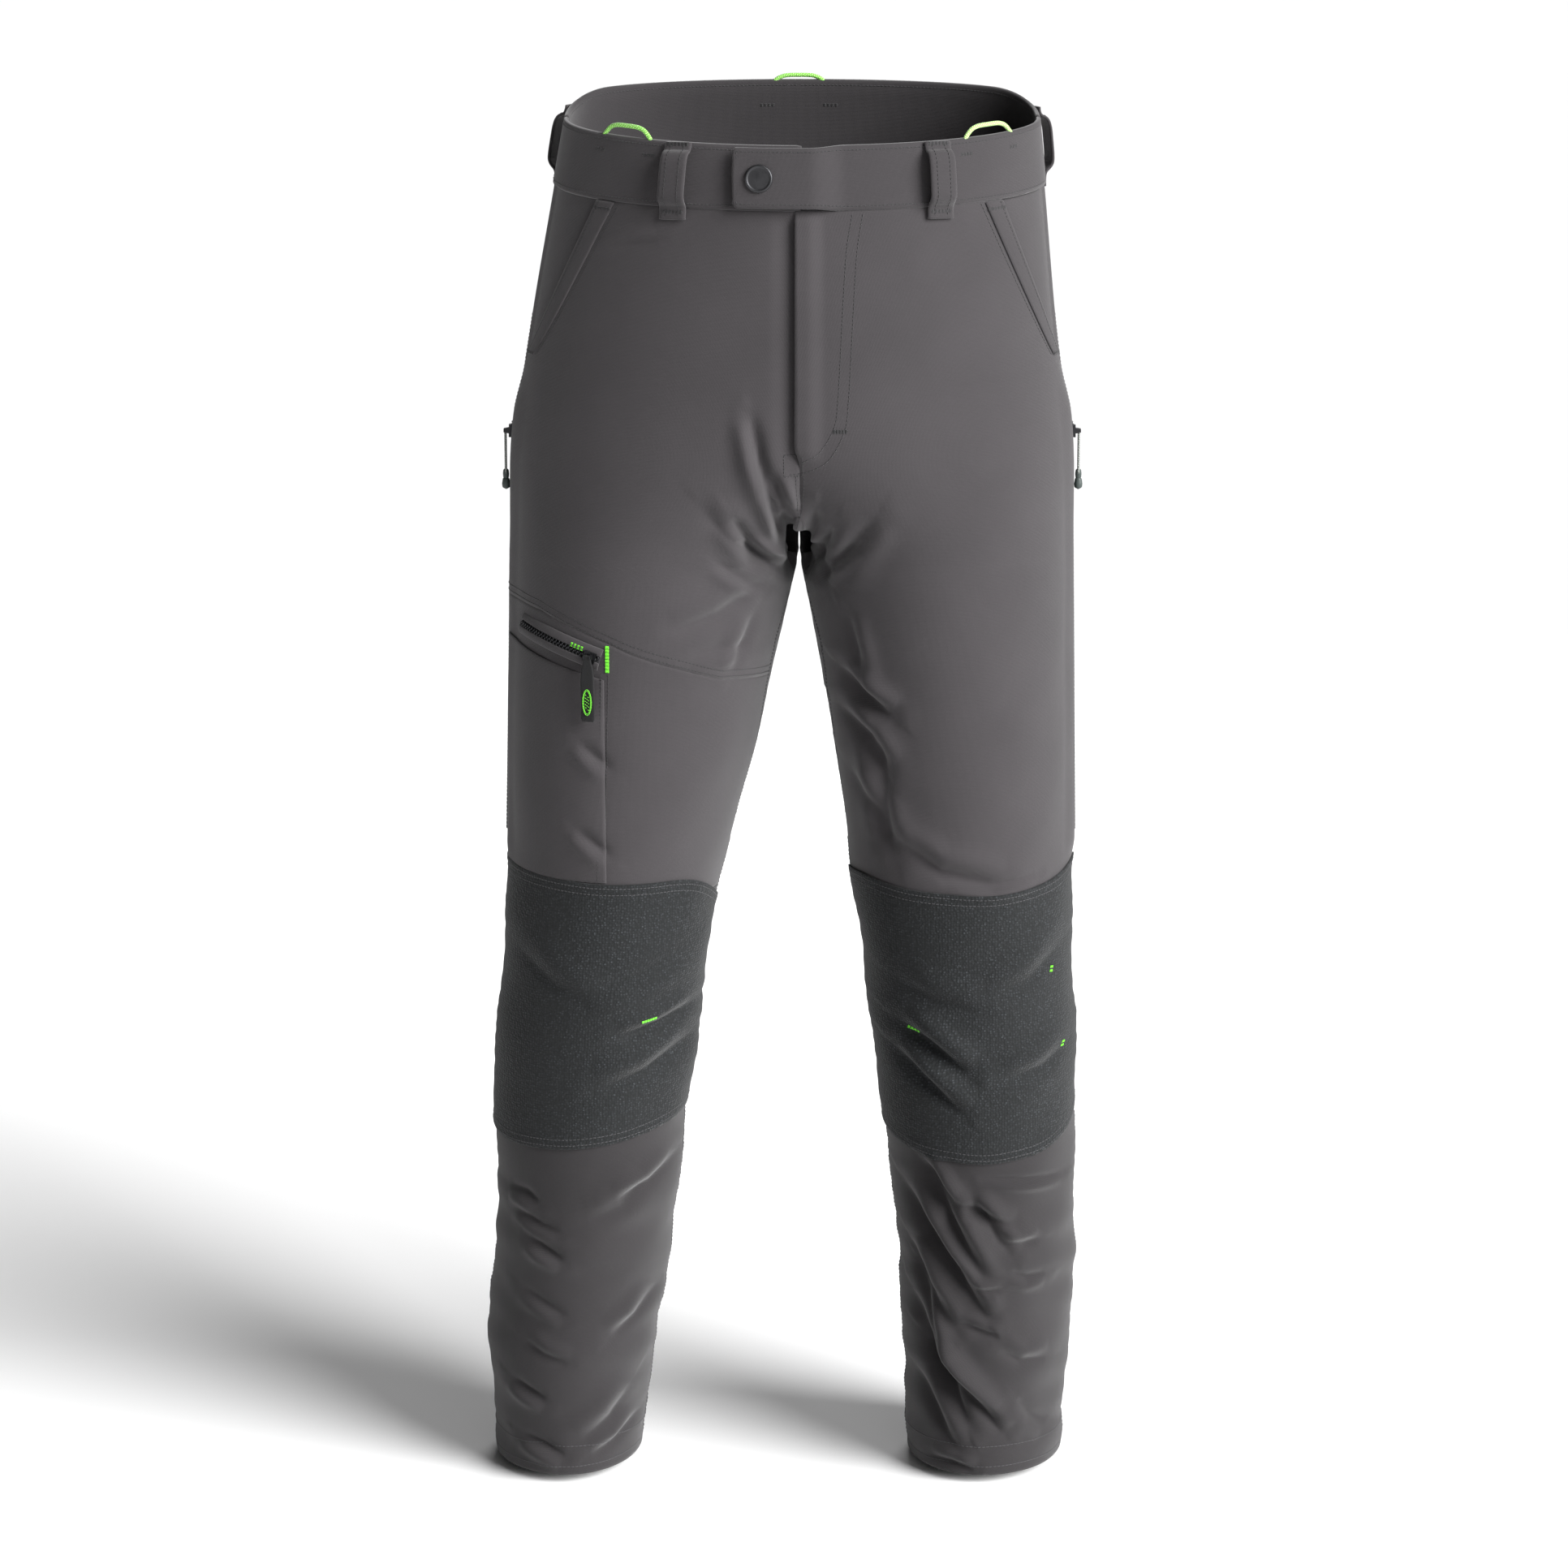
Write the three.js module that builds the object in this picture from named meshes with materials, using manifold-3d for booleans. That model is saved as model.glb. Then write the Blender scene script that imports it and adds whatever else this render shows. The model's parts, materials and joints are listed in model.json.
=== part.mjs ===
// Chainsaw protection trousers, standing open as if worn: shell panels, knee patches, pockets and
// zips outside, cut-resistant pads and lining inside, and a closure tab with a press stud.
// Millimetres, +Z up, +X to the wearer's left, the front faces -Y. The origin is the middle of the
// waist opening. R and L are the wearer's right and left.
import * as THREE from "three";
import { mergeVertices } from "three/addons/utils/BufferGeometryUtils.js";
import Module from "manifold-3d";

const wasm = await Module();
wasm.setup();

// ---- Overall sizes ----
const RISE = 335; // waist plane down to the crotch
const INSEAM = 745; // crotch down to the hem
const WAIST_TILT = 0.13; // the back of the rim stands higher: rise per mm towards the back
const TILT_ENDS = 0.65; // share of the rise at which the tilt has faded out
const BAND_HEIGHT = 48;
const KNEE_SEAM_DROP = 265; // crotch to the seam above the knee
const HEM_HEIGHT = 26;

// Sections of the body. at: 0 is the waist, 1 the crotch, 2 the hem. outer: the side seam's distance
// from the centre plane. inner: the inseam's. front and back: depths. lean: shift to the back.
const SECTIONS = [
  { at: 0.0, outerR: 180, outerL: 184, front: 112, back: 112, lean: 0 },
  { at: 0.18, outerR: 191, outerL: 190, front: 116, back: 120, lean: 0 },
  { at: 0.46, outerR: 208, outerL: 199, front: 119, back: 134, lean: 0 },
  { at: 0.73, outerR: 221, outerL: 210, front: 117, back: 140, lean: 0 },
  { at: 1.0, outerR: 223.5, outerL: 211.5, innerR: 0, innerL: 0, front: 107, back: 128, lean: -1.5 },
  { at: 1.18, outerR: 226.5, outerL: 213.5, innerR: 30, innerL: 24, front: 99, back: 108, lean: -4.5 },
  { at: 1.36, outerR: 229.5, outerL: 216, innerR: 65, innerL: 43, front: 92, back: 97, lean: -7.5 },
  { at: 1.54, outerR: 241, outerL: 221, innerR: 85, innerL: 61, front: 87, back: 92, lean: -5 },
  { at: 1.72, outerR: 244, outerL: 224, innerR: 100, innerL: 78, front: 83, back: 90, lean: 4 },
  { at: 1.89, outerR: 252, outerL: 220, innerR: 118, innerL: 86, front: 79, back: 80, lean: 10 },
  { at: 2.0, outerR: 248, outerL: 214, innerR: 130, innerL: 90, front: 77, back: 77, lean: 12 },
];
const RISE_CURVE_START = 0.45; // share of the rise at which the centre seam starts to turn under
const FRONT_CURVE = 3; // how late the front centre seam turns under
const BACK_CURVE = 2.2; // how late the seat seam turns under
const BACK_FULLNESS = 0.42; // how square the back of the waist is: 0 is an ellipse
const FULLNESS_DROP = 150; // how far below the waist that squareness fades out

// ---- Cloth layers, measured outwards from the shell's outer face ----
const SHELL = 1.6; // thickness of the shell fabric
const THIN = 1.0; // thickness of pocket and facing fabric
const PAD = 5; // thickness of the cut-resistant pad
const LAYER_GAP = 0.6; // clearance between two layers
const SEAM = 0.4; // clearance between two edges that meet
const FACING_IN = -SHELL - LAYER_GAP; // outer face of the facings
const FLY_IN = FACING_IN - 0.9; // outer face of the fly facing, which follows the curve of the seam
const BAG_IN = FACING_IN - THIN - LAYER_GAP; // outer face of the pocket bags
const PAD_EASE = 1.6; // clearance over the pads, which hang free
const PAD_IN = BAG_IN - THIN - PAD_EASE; // outer face of the pads
const LINING_IN = PAD_IN - PAD - LAYER_GAP; // outer face of the lining
const BAND_PROUD = 1.4; // the waistband stands this far outside the shell
const BAND_THICK = 4;

// ---- Gusset, knee patches and pockets ----
const GUSSET_LENGTH = 225;
const GUSSET_WIDEST = 65; // crotch down to its widest place
const GUSSET_SHARE = 0.09; // its half width there, as a share of the half section
const GUSSET_TOP_CLEARANCE = 8; // kept free of the crotch seam
const GUSSET_FOOT_CLEARANCE = 12; // kept free of the inseam below it
const PATCH_HEIGHT = 218;
const PATCH_TOP = 252; // crotch down to the top edge of the knee patch
const PATCH_THICK = 1.8;
const PATCH_EDGE = 0.02; // turns left free beside the side seam and the inseam
const SLANT_TOP = 152; // slant pocket: distance from the centre plane where it meets the band
const SLANT_DROP = 140; // its height below the band
const WELT_WIDTH = 13;
const WELT_INSET = 1;
const WELT_STAND = 1.2; // the welt's back above the shell
const POCKET_UNDERLAP = 12; // the facing runs this far below the pocket's mouth
const POCKET_BAG_DROP = 235;
const FACING_END = 0.5; // turn at which the pocket facing ends
const BAG_START = 0.03; // turns between which the pocket bag lies
const BAG_END = 0.62;
const BACK_WELT_DROP = 66; // band down to the back pocket's welt
const BACK_WELT_HEIGHT = 14;
const BACK_WELT_CLEARANCE = 0.5; // the welt spans the hollow of the panel behind it
const BACK_WELT_START = 0.42; // turns between which the welt lies
const BACK_WELT_END = 0.8;
const THIGH_POCKET_TOP = 84; // crotch down to the thigh pocket's upper edge at its front end
const THIGH_POCKET_FRONT = 150; // its front edge from the centre plane
const THIGH_POCKET_BULGE = 6;
const THIGH_POCKET_SIDE = 0.03; // turn of its outer edge, beside the side seam
const THIGH_POCKET_OVERLAP = 6; // its foot ends this far above the knee patch
const PAD_TOP = 130; // waist plane down to the pads
const PAD_HEM_CLEARANCE = 50;
const PAD_START = 0.1; // turns between which the pads lie
const PAD_END = 0.8;
const LINING_START = 0.06;
const LINING_RISE = 30; // the lining starts this far above the pads
const LINING_DROP = 8; // and ends this far below them

// ---- Belt loops and elastic loops ----
const BELT_LOOP_WIDTH = 20;
const BELT_LOOP_THICK = 2;
const BELT_LOOP_CLEARANCE = 9; // between the band and the loop
const BELT_LOOP_BELOW = 10; // the loop's foot below the band
const BELT_LOOP_SEAT = 0.9; // clearance between the band and the loop's sewn ends
const BELT_LOOP_HEAD = 6; // length of its sewn upper end
const BELT_LOOP_BEND = 7; // height of its upper bend
const BELT_LOOP_SHOULDER = 2; // the shoulder of each bend is this much nearer the band
const ELASTIC = 3.4; // diameter of the elastic
const ELASTIC_RISE = 10; // its middle line above the rim
const ELASTIC_DEPTH = 14; // its sewn ends below the rim

// ---- Closure ----
const TAB_TIP = -49; // the tab's free end across the front
const TAB_ROOT = 8; // its hinge line
const TAB_THICK = 2.2;
const TAB_STAND = 4.4; // the tab's back above the band, room for the press stud
const TAB_EDGE = 1.5; // the tab is this much lower than the band, above and below
const SNAP_X = -30;
const SNAP_RADIUS = 10.5;
const SNAP_HEIGHT = 2.4;
const SHANK_RADIUS = 2.8;
const SOCKET_RADIUS = 6;
const BALL_RADIUS = 2.3;
const FIT = 0.4; // clearance between metal pieces
const SNAP_SEAT = 0.9; // clearance between the press stud and the cloth it is riveted to
const SOCKET_DEPTH = 1.5;

// ---- Zips ----
const CHAIN_WIDTH = 5;
const CHAIN_HEIGHT = 1.8;
const TAPE_THICK = 0.8;
const SLIDER_WALL = 1.2;
const SLIDER_LENGTH = 10;
const FLY_WIDTH = 42;
const FLY_ZIP_X = 9;
const FLY_ZIP_TOP = 64;
const FLY_ZIP_FOOT = 12; // the zip ends this far above the fly's foot
const FLY_ZIP_CLEARANCE = 2.4; // facing to slider at the closest place
const FLY_EDGE = 0.6; // the facing ends this far from the centre plane
const FLY_UNDERLAP = 6; // the shield runs this far past the zip
const SHIELD_CLEARANCE = 1.8; // zip tape to shield at the closest place
const FLY_TAPE = 26; // widths of the zips' tapes
const SIDE_TAPE = 14;
const THIGH_TAPE = 12;
const SIDE_ZIP_TOP = 0.6925 * RISE; // waist plane down to the side zips' upper ends
const SIDE_ZIP_BELOW = 225; // crotch down to their lower ends
const THIGH_ZIP_OUTER = 214; // the thigh zip's outer and inner ends from the centre plane
const THIGH_ZIP_INNER = 152;
const THIGH_ZIP_DROP = 50; // crotch down to its outer end
const THIGH_ZIP_FALL = 20; // its inner end is this much lower
const THIGH_ZIP_STAND = 2.6; // the tape's back above the shell
const SIDE_ZIP_CLEARANCE = 0.8; // a straight zip's back above the highest place of the side seam
const SLIDER_REST = 8; // the thigh slider rests this far from its zip's inner end
const SIDE_PULL = { length: 32, gripWidth: 8, gripThick: 5, gripLength: 14 };
const THIGH_PULL = { length: 24, gripWidth: 11, gripThick: 2.4, gripLength: 26 };
const PIN_RADIUS = 0.8;
const EYE_RADIUS = 2.4;
const EYE_WIDTH = 3;
const EAR_THICK = 1.2;

const CROTCH = -RISE;
const HEM = -RISE - INSEAM;
const BAND_SEAM = -BAND_HEIGHT;
const KNEE_SEAM = CROTCH - KNEE_SEAM_DROP;
const TURNS = 10; // facets of a quarter or half section
const ROW_STEP = 60; // rows of facets, closer near the crotch
const CROTCH_ROWS = [85, 65, 46, 28, 13, 3, -12];
const FLY_FOOT = CROTCH + CROTCH_ROWS[0]; // the fly ends where the centre seam starts to turn under
const FRONT = -1;
const BACK = 1;
const SIDES = [
  { side: -1, tag: "R" },
  { side: 1, tag: "L" },
];

const COLOURS = {
  shell: 0x6b696b,
  shellDark: 0x4a484b,
  patch: 0x33383c,
  pad: 0xd8d4c4,
  lining: 0x2a2b2d,
  metal: 0x3c3c3e,
  plastic: 0x1f2021,
  elastic: 0xb4cf5a,
  cord: 0x8f958a,
};

// ---- Materials ----
function fabric(colour) {
  return new THREE.MeshStandardMaterial({ color: colour, roughness: 0.9, metalness: 0 });
}

function metal(colour) {
  return new THREE.MeshStandardMaterial({ color: colour, roughness: 0.4, metalness: 0.9 });
}

// ---- The body surface ----
// A smooth curve through one column of SECTIONS.
function read(key, at) {
  const rows = SECTIONS.filter((row) => row[key] !== undefined);
  const last = rows.length - 1;
  let i = 0;
  while (i < last - 1 && rows[i + 1].at < at) i += 1;
  const slope = (k) => {
    const a = rows[Math.max(k - 1, 0)];
    const b = rows[Math.min(k + 1, last)];
    return (b[key] - a[key]) / (b.at - a.at);
  };
  const length = rows[i + 1].at - rows[i].at;
  const t = THREE.MathUtils.clamp((at - rows[i].at) / length, 0, 1);
  const rest = 1 - t;
  return (
    rows[i][key] * (1 + 2 * t) * rest * rest +
    slope(i) * length * t * rest * rest +
    rows[i + 1][key] * t * t * (3 - 2 * t) -
    slope(i + 1) * length * t * t * rest
  );
}

function shareOf(level) {
  return level > CROTCH ? -level / RISE : 1 + (CROTCH - level) / INSEAM;
}

// The half section of one side at a level: an elliptic arc that spans a quarter turn at the waist,
// where it ends on the centre plane, and opens to a half turn at the crotch, where it ends on the inseam.
function section(side, face, level) {
  const at = shareOf(level);
  const tag = side < 0 ? "R" : "L";
  const under = THREE.MathUtils.clamp((at - RISE_CURVE_START) / (1 - RISE_CURVE_START), 0, 1);
  const opening = Math.pow(under, face < 0 ? FRONT_CURVE : BACK_CURVE);
  const span = (Math.PI / 2) * (1 + opening);
  const outer = read("outer" + tag, at);
  const inner = at > 1 ? read("inner" + tag, at) : 0;
  return {
    span,
    outer,
    half: (outer - inner) / (1 - Math.cos(span)),
    depth: read(face < 0 ? "front" : "back", at),
    lean: read("lean", at),
  };
}

function smoothPoint(side, face, turn, level) {
  const s = section(side, face, level);
  const angle = turn * s.span;
  const sine = Math.sin(angle);
  const square = face > 0 ? BACK_FULLNESS * THREE.MathUtils.smoothstep(level, -FULLNESS_DROP, 0) : 0;
  const y = s.lean + face * s.depth * Math.sign(sine) * Math.pow(Math.abs(sine), 1 - square);
  const x = s.outer - s.half * (1 - Math.cos(angle));
  const fade = THREE.MathUtils.clamp(1 + level / (TILT_ENDS * RISE), 0, 1);
  return new THREE.Vector3(side * x, y, level + WAIST_TILT * y * fade * fade * (3 - 2 * fade));
}

function outward(side, face, turn, level) {
  const across = smoothPoint(side, face, turn + 0.01, level).sub(smoothPoint(side, face, turn - 0.01, level));
  const down = smoothPoint(side, face, turn, level - 2).sub(smoothPoint(side, face, turn, level + 2));
  return down.cross(across).normalize().multiplyScalar(side * face);
}

// A point of the faceted surface: turn runs from 0 at the side seam to 1 at the centre or the inseam.
function skin(side, face, turn, level, offset = 0) {
  const index = THREE.MathUtils.clamp(Math.floor(turn * TURNS), 0, TURNS - 1);
  const ends = [index, index + 1].map((k) =>
    smoothPoint(side, face, k / TURNS, level).addScaledVector(outward(side, face, k / TURNS, level), offset),
  );
  return ends[0].lerp(ends[1], turn * TURNS - index);
}

// The turn at which the section is a distance from the centre plane.
function turnAt(side, face, level, distance) {
  const s = section(side, face, level);
  return Math.acos(THREE.MathUtils.clamp(1 - (s.outer - distance) / s.half, -1, 1)) / s.span;
}

function trimAt(side, face, end, level) {
  const edge = skin(side, face, end, level);
  const next = skin(side, face, end + (end < 0.5 ? 1 : -1) / TURNS, level);
  return SEAM / 2 / (edge.distanceTo(next) * TURNS);
}

// A point on the front at x across the body.
function frontPoint(x, level, offset) {
  const side = x < 0 ? -1 : 1;
  return skin(side, FRONT, turnAt(side, FRONT, level, Math.abs(x)), level, offset);
}

// How far the surface leaves the straight line between two levels: the most it stands out from it,
// and the most it falls in behind it.
function bulgeAndDip(point, top, bottom, out) {
  const samples = 48;
  const start = point(top);
  const line = point(bottom).sub(start);
  let bulge = 0;
  let dip = 0;
  for (let k = 1; k < samples; k += 1) {
    const share = k / samples;
    const spot = point(THREE.MathUtils.lerp(top, bottom, share)).sub(start);
    const height = spot.addScaledVector(line, -share).dot(out);
    bulge = Math.max(bulge, height);
    dip = Math.max(dip, -height);
  }
  return { bulge, dip };
}

// ---- Mesh helpers ----
function solidGeometry(vertices, faces) {
  const geometry = new THREE.BufferGeometry();
  const numbers = vertices.flatMap((v) => v.toArray());
  geometry.setAttribute("position", new THREE.Float32BufferAttribute(numbers, 3));
  geometry.setIndex(faces.flat());
  let volume = 0;
  for (const [a, b, c] of faces) volume += vertices[a].dot(vertices[b].clone().cross(vertices[c]));
  if (volume < 0) geometry.setIndex(faces.flatMap(([a, b, c]) => [a, c, b]));
  return geometry;
}

// A closed sheet between two grids of points. A wrapped sheet joins its last column to its first.
function sheet(outer, inner, wrapped = false) {
  const rows = outer.length;
  const columns = outer[0].length;
  const count = rows * columns;
  const faces = [];
  const quad = (a, b, c, d) => faces.push([a, b, c], [a, c, d]);
  const at = (r, c) => r * columns + (c % columns);
  const steps = wrapped ? columns : columns - 1;
  for (let r = 0; r < rows - 1; r += 1) {
    for (let c = 0; c < steps; c += 1) {
      quad(at(r, c), at(r + 1, c), at(r + 1, c + 1), at(r, c + 1));
      quad(count + at(r, c), count + at(r, c + 1), count + at(r + 1, c + 1), count + at(r + 1, c));
    }
    if (!wrapped) {
      quad(at(r, 0), count + at(r, 0), count + at(r + 1, 0), at(r + 1, 0));
      const e = columns - 1;
      quad(at(r, e), at(r + 1, e), count + at(r + 1, e), count + at(r, e));
    }
  }
  for (let c = 0; c < steps; c += 1) {
    quad(at(0, c), at(0, c + 1), count + at(0, c + 1), count + at(0, c));
    const e = rows - 1;
    quad(at(e, c), count + at(e, c), count + at(e, c + 1), at(e, c + 1));
  }
  return solidGeometry([...outer.flat(), ...inner.flat()], faces);
}

// Levels from top to bottom, on the rows that every layer shares.
function rowsBetween(top, bottom) {
  const shared = CROTCH_ROWS.map((rise) => CROTCH + rise);
  const nearest = CROTCH + CROTCH_ROWS[0];
  const lowest = CROTCH + CROTCH_ROWS[CROTCH_ROWS.length - 1];
  for (let level = nearest + ROW_STEP; level < 0; level += ROW_STEP) shared.push(level);
  for (let level = lowest - ROW_STEP; level > HEM; level -= ROW_STEP) shared.push(level);
  const near = 4;
  const inside = shared.filter((level) => level < top - near && level > bottom + near);
  return [top, ...inside.sort((a, b) => b - a), bottom];
}

// Turns between two limits, on the facet lines that every layer shares.
function columnsBetween(from, to) {
  const near = 0.004;
  const lines = [];
  for (let k = 1; k < TURNS; k += 1) lines.push(k / TURNS);
  return [from, ...lines.filter((turn) => turn > from + near && turn < to - near), to];
}

// A panel of one half section. from and to may be functions of the level, as long as each stays
// between the same two facet lines, because only the first and last columns move.
function panel(side, face, options) {
  const { top, bottom, from = 0, to = 1, outer = 0, thickness = SHELL, bulge = 0 } = options;
  const value = (limit, level) => (typeof limit === "function" ? limit(level) : limit);
  const rows = rowsBetween(top, bottom);
  const start = Math.max(...rows.map((level) => value(from, level)));
  const end = Math.min(...rows.map((level) => value(to, level)));
  const columns = columnsBetween(start, end);
  const last = columns.length - 1;
  const grid = (depth) =>
    rows.map((level, r) => {
      const low = value(from, level);
      const high = value(to, level);
      const turns = [...columns];
      turns[0] = low + (low === 0 ? trimAt(side, face, 0, level) : 0);
      turns[last] = high - (to === 1 || to === inseamEdge ? trimAt(side, face, 1, level) : 0);
      const swell = bulge * Math.sin((Math.PI * r) / (rows.length - 1));
      return turns.map((turn, c) =>
        skin(side, face, turn, level, outer + swell * Math.sin((Math.PI * c) / last) - depth),
      );
    });
  return sheet(grid(0), grid(thickness));
}

function toManifold(geometry) {
  const bare = geometry.index ? geometry.toNonIndexed() : geometry.clone();
  const plain = new THREE.BufferGeometry().setAttribute("position", bare.getAttribute("position"));
  const merged = mergeVertices(plain, 1e-4);
  return new wasm.Manifold(
    new wasm.Mesh({
      numProp: 3,
      vertProperties: merged.attributes.position.array,
      triVerts: new Uint32Array(merged.index.array),
    }),
  );
}

function fromManifold(solid) {
  const mesh = solid.getMesh();
  const geometry = new THREE.BufferGeometry();
  geometry.setAttribute("position", new THREE.BufferAttribute(new Float32Array(mesh.vertProperties), 3));
  geometry.setIndex(new THREE.BufferAttribute(new Uint32Array(mesh.triVerts), 1));
  return geometry;
}

function join(...geometries) {
  return fromManifold(geometries.map(toManifold).reduce((all, next) => all.add(next)));
}

function cut(geometry, tool) {
  return fromManifold(toManifold(geometry).subtract(toManifold(tool)));
}

// A frame with its X across, its Y along and its Z outwards.
function frameAt(origin, along, out) {
  const y = along.clone().normalize();
  const x = y.clone().cross(out).normalize();
  const z = x.clone().cross(y);
  return new THREE.Matrix4().makeBasis(x, y, z).setPosition(origin);
}

function outline(points) {
  return new THREE.Shape(points.map(([x, y]) => new THREE.Vector2(x, y)));
}

// A profile in the frame's X and Z, drawn out along its Y from one place to another.
function drawn(profile, from, to) {
  const geometry = new THREE.ExtrudeGeometry(outline(profile), { depth: to - from, bevelEnabled: false });
  return geometry.rotateX(Math.PI / 2).translate(0, to, 0);
}

// A profile in the frame's Y and Z, drawn out along its X, centred on the frame.
function drawnAcross(shape, width, centre = 0) {
  const geometry = new THREE.ExtrudeGeometry(shape, { depth: width, bevelEnabled: false, curveSegments: 4 });
  geometry.translate(0, 0, -width / 2);
  const turned = new THREE.Matrix4().makeBasis(
    new THREE.Vector3(0, 1, 0),
    new THREE.Vector3(0, 0, 1),
    new THREE.Vector3(1, 0, 0),
  );
  return geometry.applyMatrix4(turned).translate(centre, 0, 0);
}

const trousers = new THREE.Group();

function add(name, geometry, material) {
  const mesh = new THREE.Mesh(geometry, material);
  mesh.name = name;
  trousers.add(mesh);
  return mesh;
}

// ---- Shell panels ----
function gussetEdge(level) {
  const drop = CROTCH - level;
  if (drop <= 0 || drop >= GUSSET_LENGTH) return 0;
  if (drop < GUSSET_WIDEST) return GUSSET_SHARE * (drop / GUSSET_WIDEST);
  return GUSSET_SHARE * ((GUSSET_LENGTH - drop) / (GUSSET_LENGTH - GUSSET_WIDEST));
}

function inseamEdge(level) {
  return 1 - gussetEdge(level);
}

// The slant pocket's edge runs straight from the band to the side seam.
function slantEnds(side) {
  const top = skin(side, FRONT, turnAt(side, FRONT, BAND_SEAM, SLANT_TOP), BAND_SEAM);
  const foot = skin(side, FRONT, 0, BAND_SEAM - SLANT_DROP);
  return { top, foot };
}

// A block that takes away the upper corner of a front panel, beyond the slant pocket's edge.
function slantCorner(side) {
  const { top, foot } = slantEnds(side);
  const out = outward(side, FRONT, 0.2, BAND_SEAM - SLANT_DROP / 2);
  const away = foot.clone().sub(top).cross(out).multiplyScalar(-1);
  if (away.z < 0) away.negate();
  const reach = 3 * SLANT_DROP;
  const block = new THREE.BoxGeometry(reach, reach, SLANT_DROP).translate(0, 0, SLANT_DROP / 2);
  return block.applyMatrix4(frameAt(top, foot.clone().sub(top), away));
}

function shellPanels(side, tag) {
  const cloth = fabric(COLOURS.shell);
  const top = BAND_SEAM - SEAM;
  const bottom = KNEE_SEAM + SEAM / 2;
  const front = panel(side, FRONT, { top, bottom, to: inseamEdge });
  add("front_panel_" + tag, cut(front, slantCorner(side)), cloth);
  add("back_panel_" + tag, panel(side, BACK, { top, bottom, to: inseamEdge }), cloth);
  add("shin_panel_" + tag, panel(side, FRONT, { top: KNEE_SEAM - SEAM / 2, bottom: HEM }), cloth);
  add("calf_panel_" + tag, panel(side, BACK, { top: KNEE_SEAM - SEAM / 2, bottom: HEM }), cloth);
}

// The gusset of one leg: a kite on the inside of the thigh, half on the front and half on the back.
function gusset(side, tag) {
  const levels = rowsBetween(
    CROTCH - GUSSET_TOP_CLEARANCE,
    CROTCH - GUSSET_LENGTH + GUSSET_FOOT_CLEARANCE,
  );
  const grid = (depth) =>
    levels.map((level) => {
      const reach = gussetEdge(level) - 2 * trimAt(side, FRONT, 1, level);
      return [
        skin(side, FRONT, 1 - reach, level, -depth),
        skin(side, FRONT, 1 - reach / 3, level, -depth),
        skin(side, BACK, 1 - reach / 3, level, -depth),
        skin(side, BACK, 1 - reach, level, -depth),
      ];
    });
  add("crotch_gusset_" + tag, sheet(grid(0), grid(SHELL)), fabric(COLOURS.shellDark));
}

// ---- Reinforcement and inner layers ----
function kneePatch(side, tag) {
  const top = CROTCH - PATCH_TOP;
  const geometry = panel(side, FRONT, {
    top,
    bottom: top - PATCH_HEIGHT,
    from: PATCH_EDGE,
    to: 1 - PATCH_EDGE,
    outer: LAYER_GAP + PATCH_THICK,
    thickness: PATCH_THICK,
  });
  add("knee_patch_" + tag, geometry, fabric(COLOURS.patch));
}

function innerLayers(side, tag) {
  const bottom = HEM + PAD_HEM_CLEARANCE;
  add(
    "protective_pad_" + tag,
    panel(side, FRONT, {
      top: -PAD_TOP,
      bottom,
      from: PAD_START,
      to: PAD_END,
      outer: PAD_IN,
      thickness: PAD,
    }),
    fabric(COLOURS.pad),
  );
  add(
    "leg_lining_" + tag,
    panel(side, FRONT, {
      top: LINING_RISE - PAD_TOP,
      bottom: bottom - LINING_DROP,
      from: LINING_START,
      to: PAD_END,
      outer: LINING_IN,
      thickness: THIN,
    }),
    fabric(COLOURS.lining),
  );
}

function hemBand(side, tag) {
  const levels = [HEM + HEM_HEIGHT, HEM + HEM_HEIGHT / 2, HEM + 1];
  const grid = (offset) =>
    levels.map((level) => {
      const ring = [];
      for (let k = 0; k <= TURNS; k += 1) ring.push(skin(side, FRONT, k / TURNS, level, offset));
      for (let k = TURNS - 1; k > 0; k -= 1) ring.push(skin(side, BACK, k / TURNS, level, offset));
      return ring;
    });
  add(
    "hem_band_" + tag,
    sheet(grid(-SHELL - LAYER_GAP), grid(-SHELL - LAYER_GAP - THIN), true),
    fabric(COLOURS.shellDark),
  );
}

// ---- Pockets ----
function handPocket(side, tag) {
  const top = BAND_SEAM - SEAM;
  add(
    "hand_pocket_facing_" + tag,
    panel(side, FRONT, {
      top,
      bottom: BAND_SEAM - SLANT_DROP - POCKET_UNDERLAP,
      to: FACING_END,
      outer: FACING_IN,
      thickness: THIN,
    }),
    fabric(COLOURS.shell),
  );
  add(
    "hand_pocket_bag_" + tag,
    panel(side, FRONT, {
      top,
      bottom: BAND_SEAM - POCKET_BAG_DROP,
      from: BAG_START,
      to: BAG_END,
      outer: BAG_IN,
      thickness: THIN,
    }),
    fabric(COLOURS.lining),
  );
  const ends = slantEnds(side);
  const line = ends.foot.clone().sub(ends.top);
  const steps = 9;
  const rows = [];
  for (let k = 0; k <= steps; k += 1) {
    const share = THREE.MathUtils.lerp(0.03, 0.9, k / steps);
    const level = BAND_SEAM - SLANT_DROP * share;
    const spot = ends.top.clone().addScaledVector(line, share);
    const width = skin(side, FRONT, 0.1, level).distanceTo(skin(side, FRONT, 0, level)) * TURNS;
    const edge = turnAt(side, FRONT, level, Math.abs(spot.x)) + WELT_INSET / width;
    rows.push({ level, turns: [0, 0.5, 1].map((t) => edge + (t * WELT_WIDTH) / width) });
  }
  const grid = (height) =>
    rows.map(({ level, turns }) => turns.map((turn) => skin(side, FRONT, turn, level, height)));
  add("hand_pocket_welt_" + tag, sheet(grid(WELT_STAND + THIN), grid(WELT_STAND)), fabric(COLOURS.shell));
}

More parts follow.
